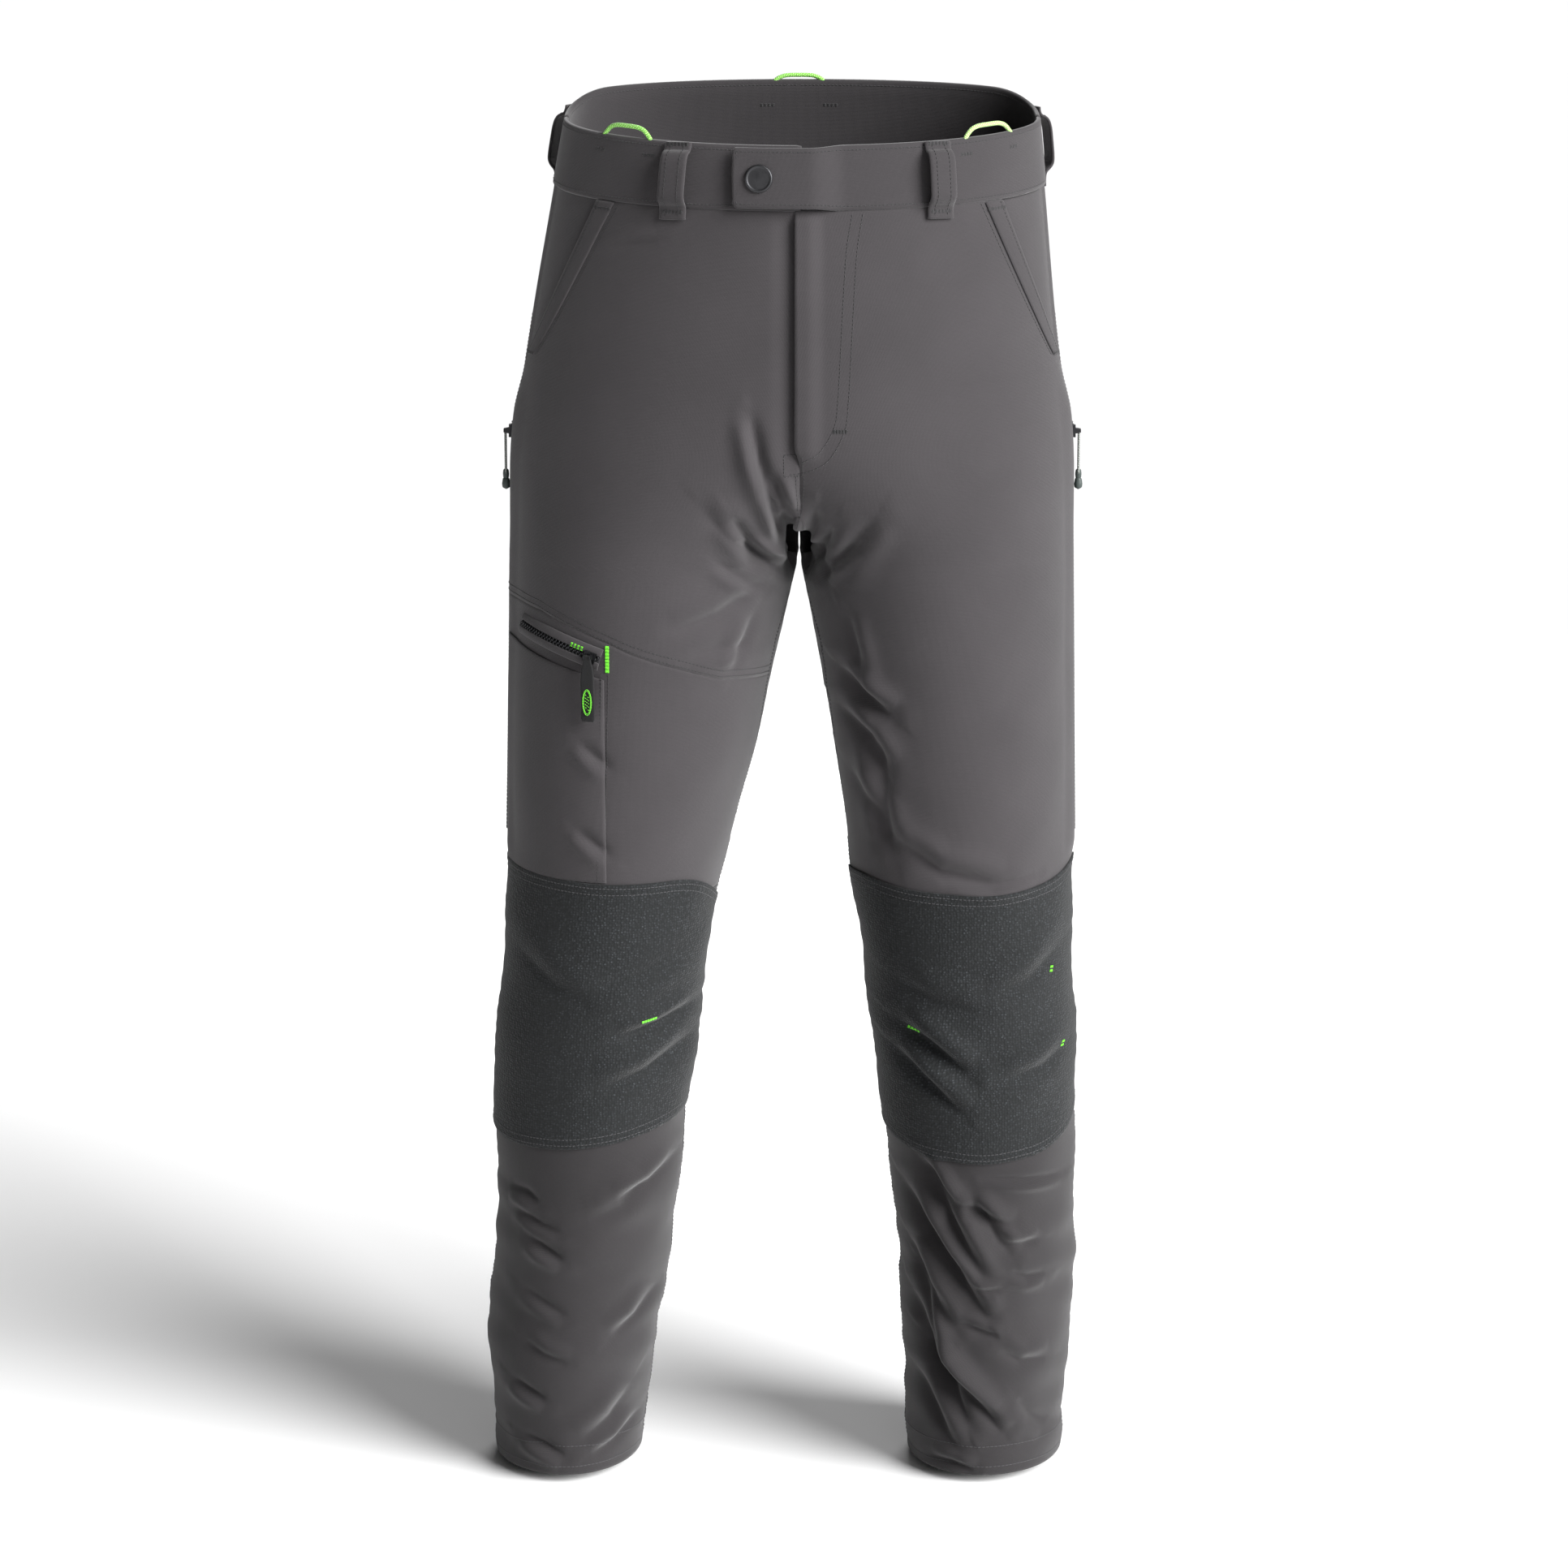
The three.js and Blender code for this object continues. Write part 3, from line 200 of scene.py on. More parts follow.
def outward(side, face, turn, level):
    across = body_point(
        side, face, turn + 0.004, level
    ) - body_point(side, face, turn - 0.004, level)
    down = body_point(side, face, turn, level - 1.5) - body_point(side, face, turn, level + 1.5)
    return unit(np.cross(down, across)) * (side * face)


def turn_at(side, face, level, distance):
    """The turn at which the section is a distance from the centre plane. Past it, beyond 1."""
    span, outer, half, _, _ = section(side, face, level)
    return np.arccos(np.clip(1 - (outer - distance) / half, -1, 1)) / span


# ---- Folds and creases ----
# Each fold: its line as (x, z), its depth, its width, and the side of its ridge (1 left of the line
# as drawn, -1 right of it). A fold is a valley along the line with a ridge beside it.
FRONT_FOLDS = (
    (((-37, -214), (-30, -250), (-19, -287)), 3.4, 6.5, -1),
    (((-20, -262), (-10, -292)), 2.4, 4.5, 1),
    (((-52, -292), (-29, -330)), 4.2, 8, -1),
    (((-74, -286), (-46, -322), (-28, -342)), 2.2, 9, 1),
    (((-13, -292), (-3, -312), (2, -334)), 5.0, 7, 1),
    (((12, -290), (9, -310), (4, -334)), 4.2, 7, -1),
    (((26, -300), (14, -334), (22, -352)), 2.6, 7, 1),
    (((58, -292), (34, -330), (26, -352)), 2.0, 9, 1),
    (((-150, -86), (-128, -80), (-106, -76)), 0.9, 6, 1),
    (((-169, -470), (-145, -491)), 1.5, 6, -1),
    (((-173, -538), (-146, -560)), 1.6, 6, -1),
    (((-30, -352), (-62, -372), (-98, -384)), 1.6, 8, -1),
    (((-36, -400), (-60, -398), (-86, -404)), 1.2, 7, 1),
    (((30, -418), (47, -437), (70, -452)), 4.0, 8, 1),
    (((30, -452), (52, -470), (66, -494)), 3.0, 8, 1),
    (((60, -468), (66, -510), (68, -556)), 2.4, 8, -1),
    (((38, -500), (60, -530), (74, -566)), 2.2, 9, 1),
    (((70, -548), (108, -574), (160, -582)), 2.2, 9, 1),
    (((114, -580), (150, -585), (186, -580)), 1.8, 5, -1),
    (((-84, -690), (-112, -701), (-142, -708)), 2.8, 7, -1),
    (((-84, -716), (-120, -738), (-158, -752)), 2.6, 10, -1),
    (((-96, -640), (-130, -660), (-170, -668)), 1.4, 11, 1),
    (((-222, -640), (-196, -664), (-160, -684)), 1.5, 12, 1),
    (((78, -700), (102, -716), (132, -738)), 4.2, 9, 1),
    (((74, -722), (96, -744), (128, -772)), 3.6, 8, 1),
    (((76, -664), (100, -678), (140, -686)), 1.8, 10, 1),
    (((206, -640), (180, -664), (150, -676)), 1.6, 11, -1),
    (((210, -722), (190, -736), (160, -744)), 1.8, 9, -1),
    (((-231, -842), (-218, -843), (-206, -849)), 2.2, 6, -1),
    (((-214, -880), (-202, -888), (-187, -896)), 2.4, 6, -1),
    (((-229, -1002), (-216, -1010), (-202, -1016)), 2.4, 6, -1),
    (((-225, -1050), (-207, -1056), (-188, -1064)), 2.6, 6, -1),
    (((-118, -830), (-140, -852), (-168, -862)), 1.4, 10, -1),
    (((-134, -1010), (-150, -1036), (-176, -1052)), 1.8, 9, -1),
    (((82, -838), (102, -870), (124, -905), (151, -948)), 4.6, 7.5, 1),
    (((102, -826), (126, -871), (149, -916)), 4.0, 7, 1),
    (((88, -886), (104, -922), (123, -958)), 4.2, 7, 1),
    (((90, -932), (112, -984), (136, -1040)), 4.8, 8, 1),
    (((100, -969), (124, -1000), (153, -1031)), 3.6, 8, 1),
    (((94, -1000), (112, -1034), (128, -1060)), 2.8, 7, 1),
    (((161, -880), (178, -883), (192, -882)), 1.6, 5, 1),
    (((140, -919), (150, -921), (161, -921)), 1.6, 4, 1),
    (((128, -950), (145, -957), (161, -962)), 1.8, 5, 1),
    (((124, -845), (145, -856), (169, -867)), 2.4, 6, 1),
    (((146, -825), (180, -829), (212, -832)), 1.6, 4, -1),
    (((108, -1071), (124, -1072), (143, -1077)), 2.2, 5, 1),
    (((176, -1016), (190, -1034), (204, -1046)), 1.8, 7, -1),
    (((-24, -276), (-18, -298), (-12, -318)), 3.0, 4.5, -1),
    (((-44, -316), (-22, -334), (-10, -346)), 3.6, 5, 1),
    (((-64, -330), (-40, -348), (-26, -356)), 1.8, 5, -1),
    (((22, -312), (12, -326), (6, -342)), 3.4, 4.5, -1),
    (((42, -316), (24, -336), (16, -350)), 2.6, 5, 1),
    (((36, -372), (44, -404), (52, -430)), 1.8, 6, 1),
    (((-34, -372), (-42, -396), (-52, -420)), 1.6, 6, -1),
    (((96, -812), (112, -834), (132, -858)), 3.0, 6, 1),
    (((134, -836), (152, -866), (170, -894)), 2.2, 6, 1),
    (((92, -906), (106, -944), (118, -974)), 2.6, 5, 1),
    (((120, -986), (140, -1016), (166, -1046)), 2.6, 6, 1),
    (((168, -906), (182, -912), (198, -912)), 1.6, 5, -1),
    (((160, -972), (178, -984), (200, -986)), 1.6, 6, 1),
    (((-96, -818), (-118, -836), (-146, -846)), 1.8, 7, -1),
    (((-226, -858), (-206, -868), (-190, -872)), 1.6, 5, -1),
    (((-222, -924), (-204, -934), (-186, -944)), 1.6, 6, -1),
    (((-112, -930), (-130, -952), (-150, -966)), 1.6, 7, -1),
    (((-220, -968), (-204, -978), (-184, -984)), 1.6, 6, 1),
    (((-126, -1042), (-146, -1058), (-168, -1066)), 1.8, 6, -1),
)
BACK_FOLDS = (
    (((-150, -300), (-96, -340), (-34, -372)), 3.2, 11, 1),
    (((148, -296), (92, -338), (30, -366)), 3.2, 11, -1),
    (((-176, -350), (-120, -392), (-60, -412)), 2.6, 11, 1),
    (((170, -352), (116, -390), (54, -408)), 2.6, 11, -1),
    (((-26, -286), (-12, -318), (-4, -338)), 3.4, 8, -1),
    (((24, -290), (12, -320), (4, -338)), 3.4, 8, 1),
    (((-205, -660), (-160, -676), (-112, -668)), 4.2, 10, -1),
    (((-210, -690), (-168, -704), (-118, -700)), 3.6, 9, 1),
    (((-204, -724), (-164, -738), (-124, -730)), 2.8, 10, -1),
    (((196, -656), (152, -672), (104, -664)), 4.2, 10, 1),
    (((200, -688), (158, -702), (110, -696)), 3.6, 9, -1),
    (((196, -722), (154, -736), (112, -728)), 2.8, 10, 1),
    (((-216, -800), (-190, -840), (-176, -890)), 1.8, 13, 1),
    (((200, -806), (176, -846), (160, -896)), 1.8, 13, -1),
    (((-226, -1010), (-200, -1032), (-166, -1040)), 2.6, 10, -1),
    (((200, -1008), (176, -1030), (140, -1038)), 2.6, 10, 1),
    (((-228, -1048), (-206, -1060), (-176, -1064)), 2.0, 8, 1),
    (((198, -1046), (178, -1058), (148, -1062)), 2.0, 8, -1),
    (((-120, -90), (-96, -140), (-86, -200)), 1.2, 16, 1),
    (((120, -90), (96, -140), (86, -200)), 1.2, 16, -1),
)
FOLD_STRENGTH = {FRONT: 2.2, BACK: 1.25}
FOLDS = {
    face: [
        (np.array(line, float), FOLD_STRENGTH[face] * depth, width, ridge)
        for line, depth, width, ridge in folds
    ]
    for face, folds in ((FRONT, FRONT_FOLDS), (BACK, BACK_FOLDS))
}
rng = np.random.default_rng(7)
WAVES = [
    (
        rng.uniform(0, math.tau), 1 / rng.uniform(70, 190), rng.uniform(0, math.tau),
        rng.uniform(0, math.tau),
    )
    for _ in range(14)
]
RIPPLES = [
    (
        rng.uniform(-0.5, 0.5), 1 / rng.uniform(26, 52), rng.uniform(0, math.tau),
        rng.uniform(0, math.tau),
    )
    for _ in range(10)
]
TORSO_WAVE = 0.35
LEG_WAVE = 1.15
SHIN_RIPPLE = 0.5
PUCKER = 0.22
CROTCH_PINCH = 11.0


def fold_depth(folds, x, z):
    total = np.zeros(x.shape)
    for line, depth, width, ridge in folds:
        low, high = line.min(0) - 4 * width, line.max(0) + 4 * width
        near = (x > low[0]) & (x < high[0]) & (z > low[1]) & (z < high[1])
        if not near.any():
            continue
        p = np.stack([x[near], z[near]], axis=-1)
        steps = np.linalg.norm(np.diff(line, axis=0), axis=1)
        starts = np.concatenate([[0], np.cumsum(steps)])
        best = np.full(len(p), np.inf)
        signed, along = np.zeros(len(p)), np.zeros(len(p))
        for k, length in enumerate(steps):
            d = (line[k + 1] - line[k]) / length
            away = p - line[k]
            t = np.clip(away @ d, 0, length)
            distance = np.linalg.norm(away - t[:, None] * d, axis=1)
            closer = distance < best
            best = np.where(closer, distance, best)
            signed = np.where(closer, np.sign(d[0] * away[:, 1] - d[1] * away[:, 0]), signed)
            along = np.where(closer, starts[k] + t, along)
        taper = np.sin(math.pi * np.clip(along / starts[-1], 0.02, 0.98)) ** 0.7
        q = signed * best / width
        valley = -np.exp(-((np.abs(q) / 0.7) ** 1.5))
        crest = 0.85 * np.exp(-((q - 1.5 * ridge) ** 2) / 1.0)
        total[near] += depth * taper * (valley + crest)
    return total


def relief(side, face, turn, level):
    """How far the cloth stands out from the plain surface, in millimetres."""
    p = body_point(side, face, turn, level)
    x, y, z = p[..., 0], p[..., 1], level + 0 * turn
    total = fold_depth(FOLDS[face], x, z)
    if face == FRONT:
        pinch = smooth(-292, -322, z) * smooth(-356, -342, z)
        total -= CROTCH_PINCH * pinch * np.exp(-((x / 11.0) ** 2))
    rise = smooth(-60, -330, z)
    leg = smooth(-380, -700, z)
    shin = smooth(-790, -880, z)
    wave = np.zeros(x.shape)
    for angle, scale, phase, other in WAVES:
        run = (x * math.cos(angle) + y * math.sin(angle * 2.3) + z * math.sin(angle)) * scale
        wave += np.sin(math.tau * run + phase) * math.cos(other)
    total += wave * (TORSO_WAVE * rise + (LEG_WAVE - TORSO_WAVE) * leg) / 2
    ripple = np.zeros(x.shape)
    for lean, scale, phase, other in RIPPLES:
        ripple += np.sin(math.tau * (z + lean * x + 8 * np.sin(x / 31 + other)) * scale + phase)
    total += ripple * SHIN_RIPPLE * shin / 3
    seam = np.minimum(turn, 1 - turn)
    width = np.abs(section(side, face, z)[2]) * 1.9
    beside = np.exp(-((np.clip(seam, 0, 1) * width / 9) ** 2))
    beat = np.sin(z / 2.3 + 3 * np.sin(z / 19)) + 0.7 * np.sin(z / 4.9 + 1)
    seated = smooth(-590, -640, z) + 0.35 * smooth(-60, -120, z)
    total += PUCKER * beside * beat * np.clip(seated, 0, 1)
    still = smooth(0.0, 0.07, turn) + smooth(SIDE_ZIP_BOTTOM - 8, SIDE_ZIP_BOTTOM - 40, z)
    return total * smooth(BAND_SEAM, BAND_SEAM - 26, z) * np.clip(still + 0.08, 0, 1)


def fly_lap(side, face, turn, level):
    """The left front laps over the right one down the fly."""
    if face == BACK:
        return 0.0
    x = np.abs(body_point(side, face, turn, level)[..., 0])
    along = smooth(
        BAND_SEAM + 2, BAND_SEAM - 12, level
    ) * smooth(FLY_FOOT - 8, FLY_FOOT + 10, level)
    if side > 0:
        return 3.4 * along * smooth(19, 5, x)
    return -2.4 * along * smooth(24, 5, x)


LIP_GAP = 4.2
LIP_HEIGHT = 3.7


def arc_width(side, face, level):
    """Length of the half section from the side seam inwards, for each unit of turn."""
    step = body_point(side, face, 0.05, level) - body_point(side, face, 0.0, level)
    return np.linalg.norm(step, axis=-1) * 20


def beside_zip(level):
    """1 along the side zips, fading out at their ends."""
    level = np.asarray(level, float)
    head = smooth(SIDE_ZIP_TOP + 44, SIDE_ZIP_TOP + 2, level)
    return head * smooth(SIDE_ZIP_BOTTOM - 30, SIDE_ZIP_BOTTOM - 2, level)


def zip_gap(side, face):
    """The turn at which a panel starts beside its side zip."""

    def gap(level):
        level = np.asarray(level, float)
        open_part = smooth(SIDE_ZIP_TOP + 5, SIDE_ZIP_TOP - 1, level)
        open_part = open_part * smooth(SIDE_ZIP_BOTTOM - 4, SIDE_ZIP_BOTTOM + 2, level)
        return LIP_GAP * open_part / arc_width(side, face, level)

    return gap


def zip_lip(side, face, turn, level):
    """The panels rise over the tapes of the side zips."""
    distance = turn * arc_width(side, face, level)
    return LIP_HEIGHT * beside_zip(level) * smooth(34, 7, distance)


def place(side, face, turn, level, offset=0.0, lap=1.0):
    """Points of the cloth surface, offset outwards from the shell's outer face."""
    turn, level = np.broadcast_arrays(np.asarray(turn, float), np.asarray(level, float))
    height = offset + relief(side, face, turn, level)
    if lap:
        height = height + fly_lap(side, face, turn, level) + zip_lip(side, face, turn, level)
    return body_point(
        side, face, turn, level
    ) + outward(side, face, turn, level) * height[..., None]


def front_places(points, offset):
    """Points of the front at (x, level), with the directions out of the cloth."""
    spots, outs = [], []
    for x, level in points:
        side = -1 if x < 0 else 1
        turn = float(turn_at(side, FRONT, level, abs(x)))
        spots.append(place(side, FRONT, turn, level, offset))
        outs.append(outward(side, FRONT, np.float64(turn), np.float64(level)))
    return np.array(spots), np.array(outs)


# ---- Mesh helpers ----
def mesh_object(name, points, quads, uv=None):
    mesh = bpy.data.meshes.new(name)
    points, quads = np.asarray(points, float), np.asarray(quads, np.int32)
    a, b, c, d = (points[quads[:, k]] for k in range(4))
    volume = (np.cross(a, b) * c).sum() + (np.cross(a, c) * d).sum()
    if volume < 0:
        quads = quads[:, ::-1]
    mesh.vertices.add(len(points))
    mesh.vertices.foreach_set("co", (points * MM).astype(np.float32).ravel())
    mesh.loops.add(quads.size)
    mesh.loops.foreach_set("vertex_index", np.ascontiguousarray(quads).ravel())
    mesh.polygons.add(len(quads))
    mesh.polygons.foreach_set("loop_start", np.arange(len(quads), dtype=np.int32) * 4)
    mesh.polygons.foreach_set("use_smooth", np.ones(len(quads), bool))
    if uv is not None:
        layer = mesh.uv_layers.new(name="UVMap")
        layer.data.foreach_set("uv", (uv[quads.ravel()] * MM).astype(np.float32).ravel())
    mesh.update(calc_edges=True)
    obj = bpy.data.objects.new(name, mesh)
    bpy.context.scene.collection.objects.link(obj)
    return obj


def dress(obj, material, body=BODY, stands_for=()):
    """Gives a piece its material, lets it ride on a body, and replaces CAD nodes."""
    obj.data.materials.clear()
    obj.data.materials.append(material)
    if body:
        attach(obj, body)
    if stands_for:
        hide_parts(*stands_for)
    return obj


def rim_of(rows, columns):
    """Indices round a grid's edge, and for each the neighbour further in."""
    ring, inner = [], []
    for c in range(columns - 1):
        ring.append((0, c))
    for r in range(rows - 1):
        ring.append((r, columns - 1))
    for c in range(columns - 1, 0, -1):
        ring.append((rows - 1, c))
    for r in range(rows - 1, 0, -1):
        ring.append((r, 0))
    for r, c in ring:
        inner.append((min(max(r, 1), rows - 2) if rows > 2 else r, min(max(c, 1), columns - 2)))
    return ring, inner


EDGE_ROUND = 0.32


def sheet_mesh(name, outer, inner, uv):
    """A closed cloth piece between two grids of points, with its edges rounded."""
    rows, columns = outer.shape[:2]
    count = rows * columns
    index = np.arange(count).reshape(rows, columns)
    top = np.stack(
        [index[:-1, :-1], index[1:, :-1], index[1:, 1:], index[:-1, 1:]], axis=-1
    ).reshape(-1, 4)
    quads = [top, top[:, ::-1] + count]
    ring, inward = rim_of(rows, columns)
    edge = np.array([index[k] for k in ring])
    within = np.array([index[k] for k in inward])
    flat_outer, flat_inner = outer.reshape(-1, 3), inner.reshape(-1, 3)
    middle = (flat_outer[edge] + flat_inner[edge]) / 2
    thick = np.linalg.norm(flat_outer[edge] - flat_inner[edge], axis=1, keepdims=True)
    away = unit(flat_outer[edge] - flat_outer[within])
    middle = middle + away * thick * EDGE_ROUND
    ids = 2 * count + np.arange(len(ring))
    after = np.roll(np.arange(len(ring)), -1)
    quads.append(np.stack([edge, edge[after], ids[after], ids], axis=-1))
    quads.append(np.stack([ids, ids[after], edge[after] + count, edge + count], axis=-1))
    points = np.concatenate([flat_outer, flat_inner, middle])
    flat_uv = uv.reshape(-1, 2)
    return mesh_object(
        name, points, np.concatenate(quads), np.concatenate([flat_uv, flat_uv, flat_uv[edge]])
    )


def grid_uv(points):
    """Lengths across and down a grid, measured from its middle column and its top row."""
    across = np.linalg.norm(np.diff(points, axis=1), axis=2)
    u = np.concatenate([np.zeros((len(points), 1)), np.cumsum(across, axis=1)], axis=1)
    u = u - u[:, u.shape[1] // 2][:, None]
    down = np.linalg.norm(np.diff(points, axis=0), axis=2)
    v = np.concatenate([np.zeros((1, points.shape[1])), -np.cumsum(down, axis=0)])
    return np.stack([u, np.broadcast_to(v.mean(axis=1, keepdims=True), u.shape)], axis=-1)


ARC_LEVELS = np.linspace(HEM - 10, 10, 110)


def arc_table(side, face):
    """Length of the whole half section at each of ARC_LEVELS."""
    points = body_point(side, face, np.linspace(0, 1, 60)[None, :], ARC_LEVELS[:, None])
    return np.linalg.norm(np.diff(points, axis=1), axis=2).sum(axis=1)


ARCS = {(side, face): arc_table(side, face) for side, _ in SIDES for face in (FRONT, BACK)}


def cloth_uv(side, face, turn, level):
    """Lengths round and down a half section, from its side seam and the waist."""
    level = np.broadcast_to(level, np.broadcast_shapes(turn.shape, level.shape))
    return np.stack([turn * np.interp(level, ARC_LEVELS, ARCS[side, face]), level], axis=-1)


def cut_size(points):
    """(width, length), area: the flat size of a grid of points, in metres."""
    across = np.linalg.norm(np.diff(points, axis=1), axis=2).sum(axis=1).max()
    down = np.linalg.norm(np.diff(points, axis=0), axis=2).sum(axis=0).max()
    a, b = points[1:, 1:] - points[:-1, :-1], points[1:, :-1] - points[:-1, 1:]
    area = np.linalg.norm(np.cross(a, b), axis=2).sum() / 2
    return (across * MM, down * MM), area * MM * MM


def declare_sheet(points):
    flat, area = cut_size(points)
    flat = (round(max(flat[0], 0.01), 3), round(max(flat[1], 0.01), 3))
    area = min(area, 0.999 * flat[0] * flat[1])


CLOTH_STEP = 2.6


def surface_piece(name, side, face, options):
    """A piece of one half section. top, bottom, start and end may be functions of the other way."""
    top, bottom = options["top"], options["bottom"]
    start, end = options.get("start", 0.0), options.get("end", 1.0)
    outer, thick = options.get("outer", 0.0), options.get("thick", SHELL)
    swell, step = options.get("swell", 0.0), options.get("step", CLOTH_STEP)
    lap = options.get("lap", 1.0)
    height = abs(float(np.mean(top(np.array(0.5))) if callable(top) else top) -
                 float(np.mean(bottom(np.array(0.5))) if callable(bottom) else bottom))
    middle = (
        (top(np.array(0.5)) if callable(top) else top) + (
            bottom(np.array(0.5)) if callable(bottom) else bottom
        )
    ) / 2
    s0 = start(np.array(middle)) if callable(start) else start
    e0 = end(np.array(middle)) if callable(end) else end
    probe = body_point(side, face, np.linspace(s0, e0, 40), np.full(40, middle))
    width = np.linalg.norm(np.diff(probe, axis=0), axis=1).sum()
    rows, columns = max(4, int(height / step) + 1), max(4, int(width / step) + 1)
    s = np.linspace(0, 1, columns)[None, :]
    r = np.linspace(0, 1, rows)[:, None]
    high = top(s) if callable(top) else np.full((1, columns), float(top))
    low = bottom(s) if callable(bottom) else np.full((1, columns), float(bottom))
    level = high * (1 - r) + low * r
    first = start(level) if callable(start) else np.full(level.shape, float(start))
    last = end(level) if callable(end) else np.full(level.shape, float(end))
    turn = first * (1 - s) + last * s
    if callable(outer):
        outer = outer(turn, level)
    out = outer + swell * np.sin(math.pi * r) ** 0.7 * np.sin(math.pi * s) ** 0.7
    shell_out = place(side, face, turn, level, out, lap)
    shell_in = place(side, face, turn, level, out - thick, lap)
    obj = sheet_mesh(name, shell_out, shell_in, cloth_uv(side, face, turn, level))
    return obj, (shell_out + shell_in) / 2


def tube_mesh(name, path, radius, sides=10, flatten=1.0, out=None):
    """A closed tube along a path. radius may be one number or one for each point."""
    path = np.asarray(path, float)
    tangent = unit(np.gradient(path, axis=0))
    reference = np.array([0.0, 0.0, 1.0]) if out is None else np.asarray(out, float)
    first = unit(np.cross(tangent[0], reference))
    if np.linalg.norm(first) < 0.5:
        first = unit(np.cross(tangent[0], np.array([1.0, 0.0, 0.0])))
    normals = [first]
    for t in tangent[1:]:
        n = normals[-1] - t * (normals[-1] @ t)
        normals.append(unit(n))
    normals = np.array(normals)
    binormals = np.cross(tangent, normals)
    radii = np.broadcast_to(np.asarray(radius, float), (len(path),))
    angle = np.linspace(0, math.tau, sides, endpoint=False)
    ring = (
        normals[:, None, :] * np.cos(angle)[None, :, None]
        + binormals[:, None, :] * np.sin(angle)[None, :, None] * flatten
    )
    points = path[:, None, :] + ring * radii[:, None, None]
    along = np.concatenate([[0], np.cumsum(np.linalg.norm(np.diff(path, axis=0), axis=1))])
    uv = np.stack(np.broadcast_arrays((angle * radii.mean())[None, :], along[:, None]), axis=-1)
    n, index = len(path), np.arange(len(path) * sides).reshape(len(path), sides)
    nxt = np.roll(index, -1, axis=1)
    quads = np.stack([index[:-1], index[1:], nxt[1:], nxt[:-1]], axis=-1).reshape(-1, 4)
    caps, extra, extra_uv = [], [], []
    for end, row in ((0, index[0]), (n - 1, index[-1])):
        centre = n * sides + len(extra)
        extra.append(path[end] + tangent[end] * (-1 if end == 0 else 1) * radii[end] * 0.5)
        extra_uv.append(uv[end, 0])
        for k in range(0, sides, 2):
            corner = [row[k], row[(k + 1) % sides], row[(k + 2) % sides], centre]
            caps.append(corner if end == 0 else corner[::-1])
    quads = np.concatenate([quads, np.array(caps)])
    points = np.concatenate([points.reshape(-1, 3), np.array(extra)])
    return mesh_object(name, points, quads, np.concatenate([uv.reshape(-1, 2), np.array(extra_uv)]))


def curve_through(points, steps=8):
    """A smooth curve through points, as points."""
    p = np.asarray(points, float)
    p = np.concatenate([[2 * p[0] - p[1]], p, [2 * p[-1] - p[-2]]])
    out = []
    for i in range(1, len(p) - 2):
        for t in np.linspace(0, 1, steps, endpoint=False):
            a = 2 * p[i]
            b = p[i + 1] - p[i - 1]
            c = 2 * p[i - 1] - 5 * p[i] + 4 * p[i + 1] - p[i + 2]
            d = -p[i - 1] + 3 * p[i] - 3 * p[i + 1] + p[i + 2]
            out.append((a + b * t + c * t * t + d * t**3) / 2)
    return np.array(out + [p[-2]])


class Stitches:
    """Rows of thread stitches gathered into one mesh."""

    def __init__(self):
        self.points, self.quads = [], []

    def row(self, path, outs, pitch=3.0, gap=0.7, radius=0.36):
        path = np.asarray(path, float)
        outs = np.asarray(outs, float)
        along = np.concatenate([[0], np.cumsum(np.linalg.norm(np.diff(path, axis=0), axis=1))])
        count = max(1, int(along[-1] / pitch))
        starts = np.linspace(0, along[-1] - (pitch - gap), count)
        rings = []
        for share, fat in ((0.0, 0.45), (0.25, 1.0), (0.75, 1.0), (1.0, 0.45)):
            at = starts + share * (pitch - gap)
            centre = np.stack([np.interp(at, along, path[:, k]) for k in range(3)], axis=1)
            out = unit(np.stack([np.interp(at, along, outs[:, k]) for k in range(3)], axis=1))
            ahead = np.stack([np.interp(at + 0.2, along, path[:, k]) for k in range(3)], axis=1)
            behind = np.stack([np.interp(at - 0.2, along, path[:, k]) for k in range(3)], axis=1)
            across = unit(np.cross(ahead - behind, out))
            dip = -0.35 * radius if fat < 1 else 0.2 * radius
            rings.append(
                np.stack(
                    [
                        centre + across * radius * fat + out * dip,
                        centre + out * (radius * 0.85 * fat + dip),
                        centre - across * radius * fat + out * dip,
                        centre - out * (radius * 0.85 * fat - dip),
                    ],
                    axis=1,
                )
            )
        block = np.stack(rings, axis=1)
        base = sum(len(p) for p in self.points)
        index = base + np.arange(count * 16).reshape(count, 4, 4)
        nxt = np.roll(index, -1, axis=2)
        sides = np.stack([index[:, :-1], index[:, 1:], nxt[:, 1:], nxt[:, :-1]], axis=-1)
        self.quads.append(sides.reshape(-1, 4))
        self.quads.append(index[:, 0].reshape(-1, 4)[:, ::-1].copy())
        self.quads.append(index[:, 3].reshape(-1, 4))
        self.points.append(block.reshape(-1, 3))

    def build(self, name, material, body=BODY):
        points = np.concatenate(self.points)
        uv = points[:, [0, 2]]
        obj = mesh_object(name, points, np.concatenate(self.quads), uv)
        return dress(obj, material, body)


def on_surface(side, face, turns, levels, offset):
    turns, levels = np.broadcast_arrays(np.asarray(turns, float), np.asarray(levels, float))
    return place(side, face, turns, levels, offset), outward(side, face, turns, levels)


# ---- Materials ----
def srgb(r, g, b):
    def linear(v):
        v = v / 255
        return v / 12.92 if v <= 0.04045 else ((v + 0.055) / 1.055) ** 2.4

    return (linear(r), linear(g), linear(b), 1.0)


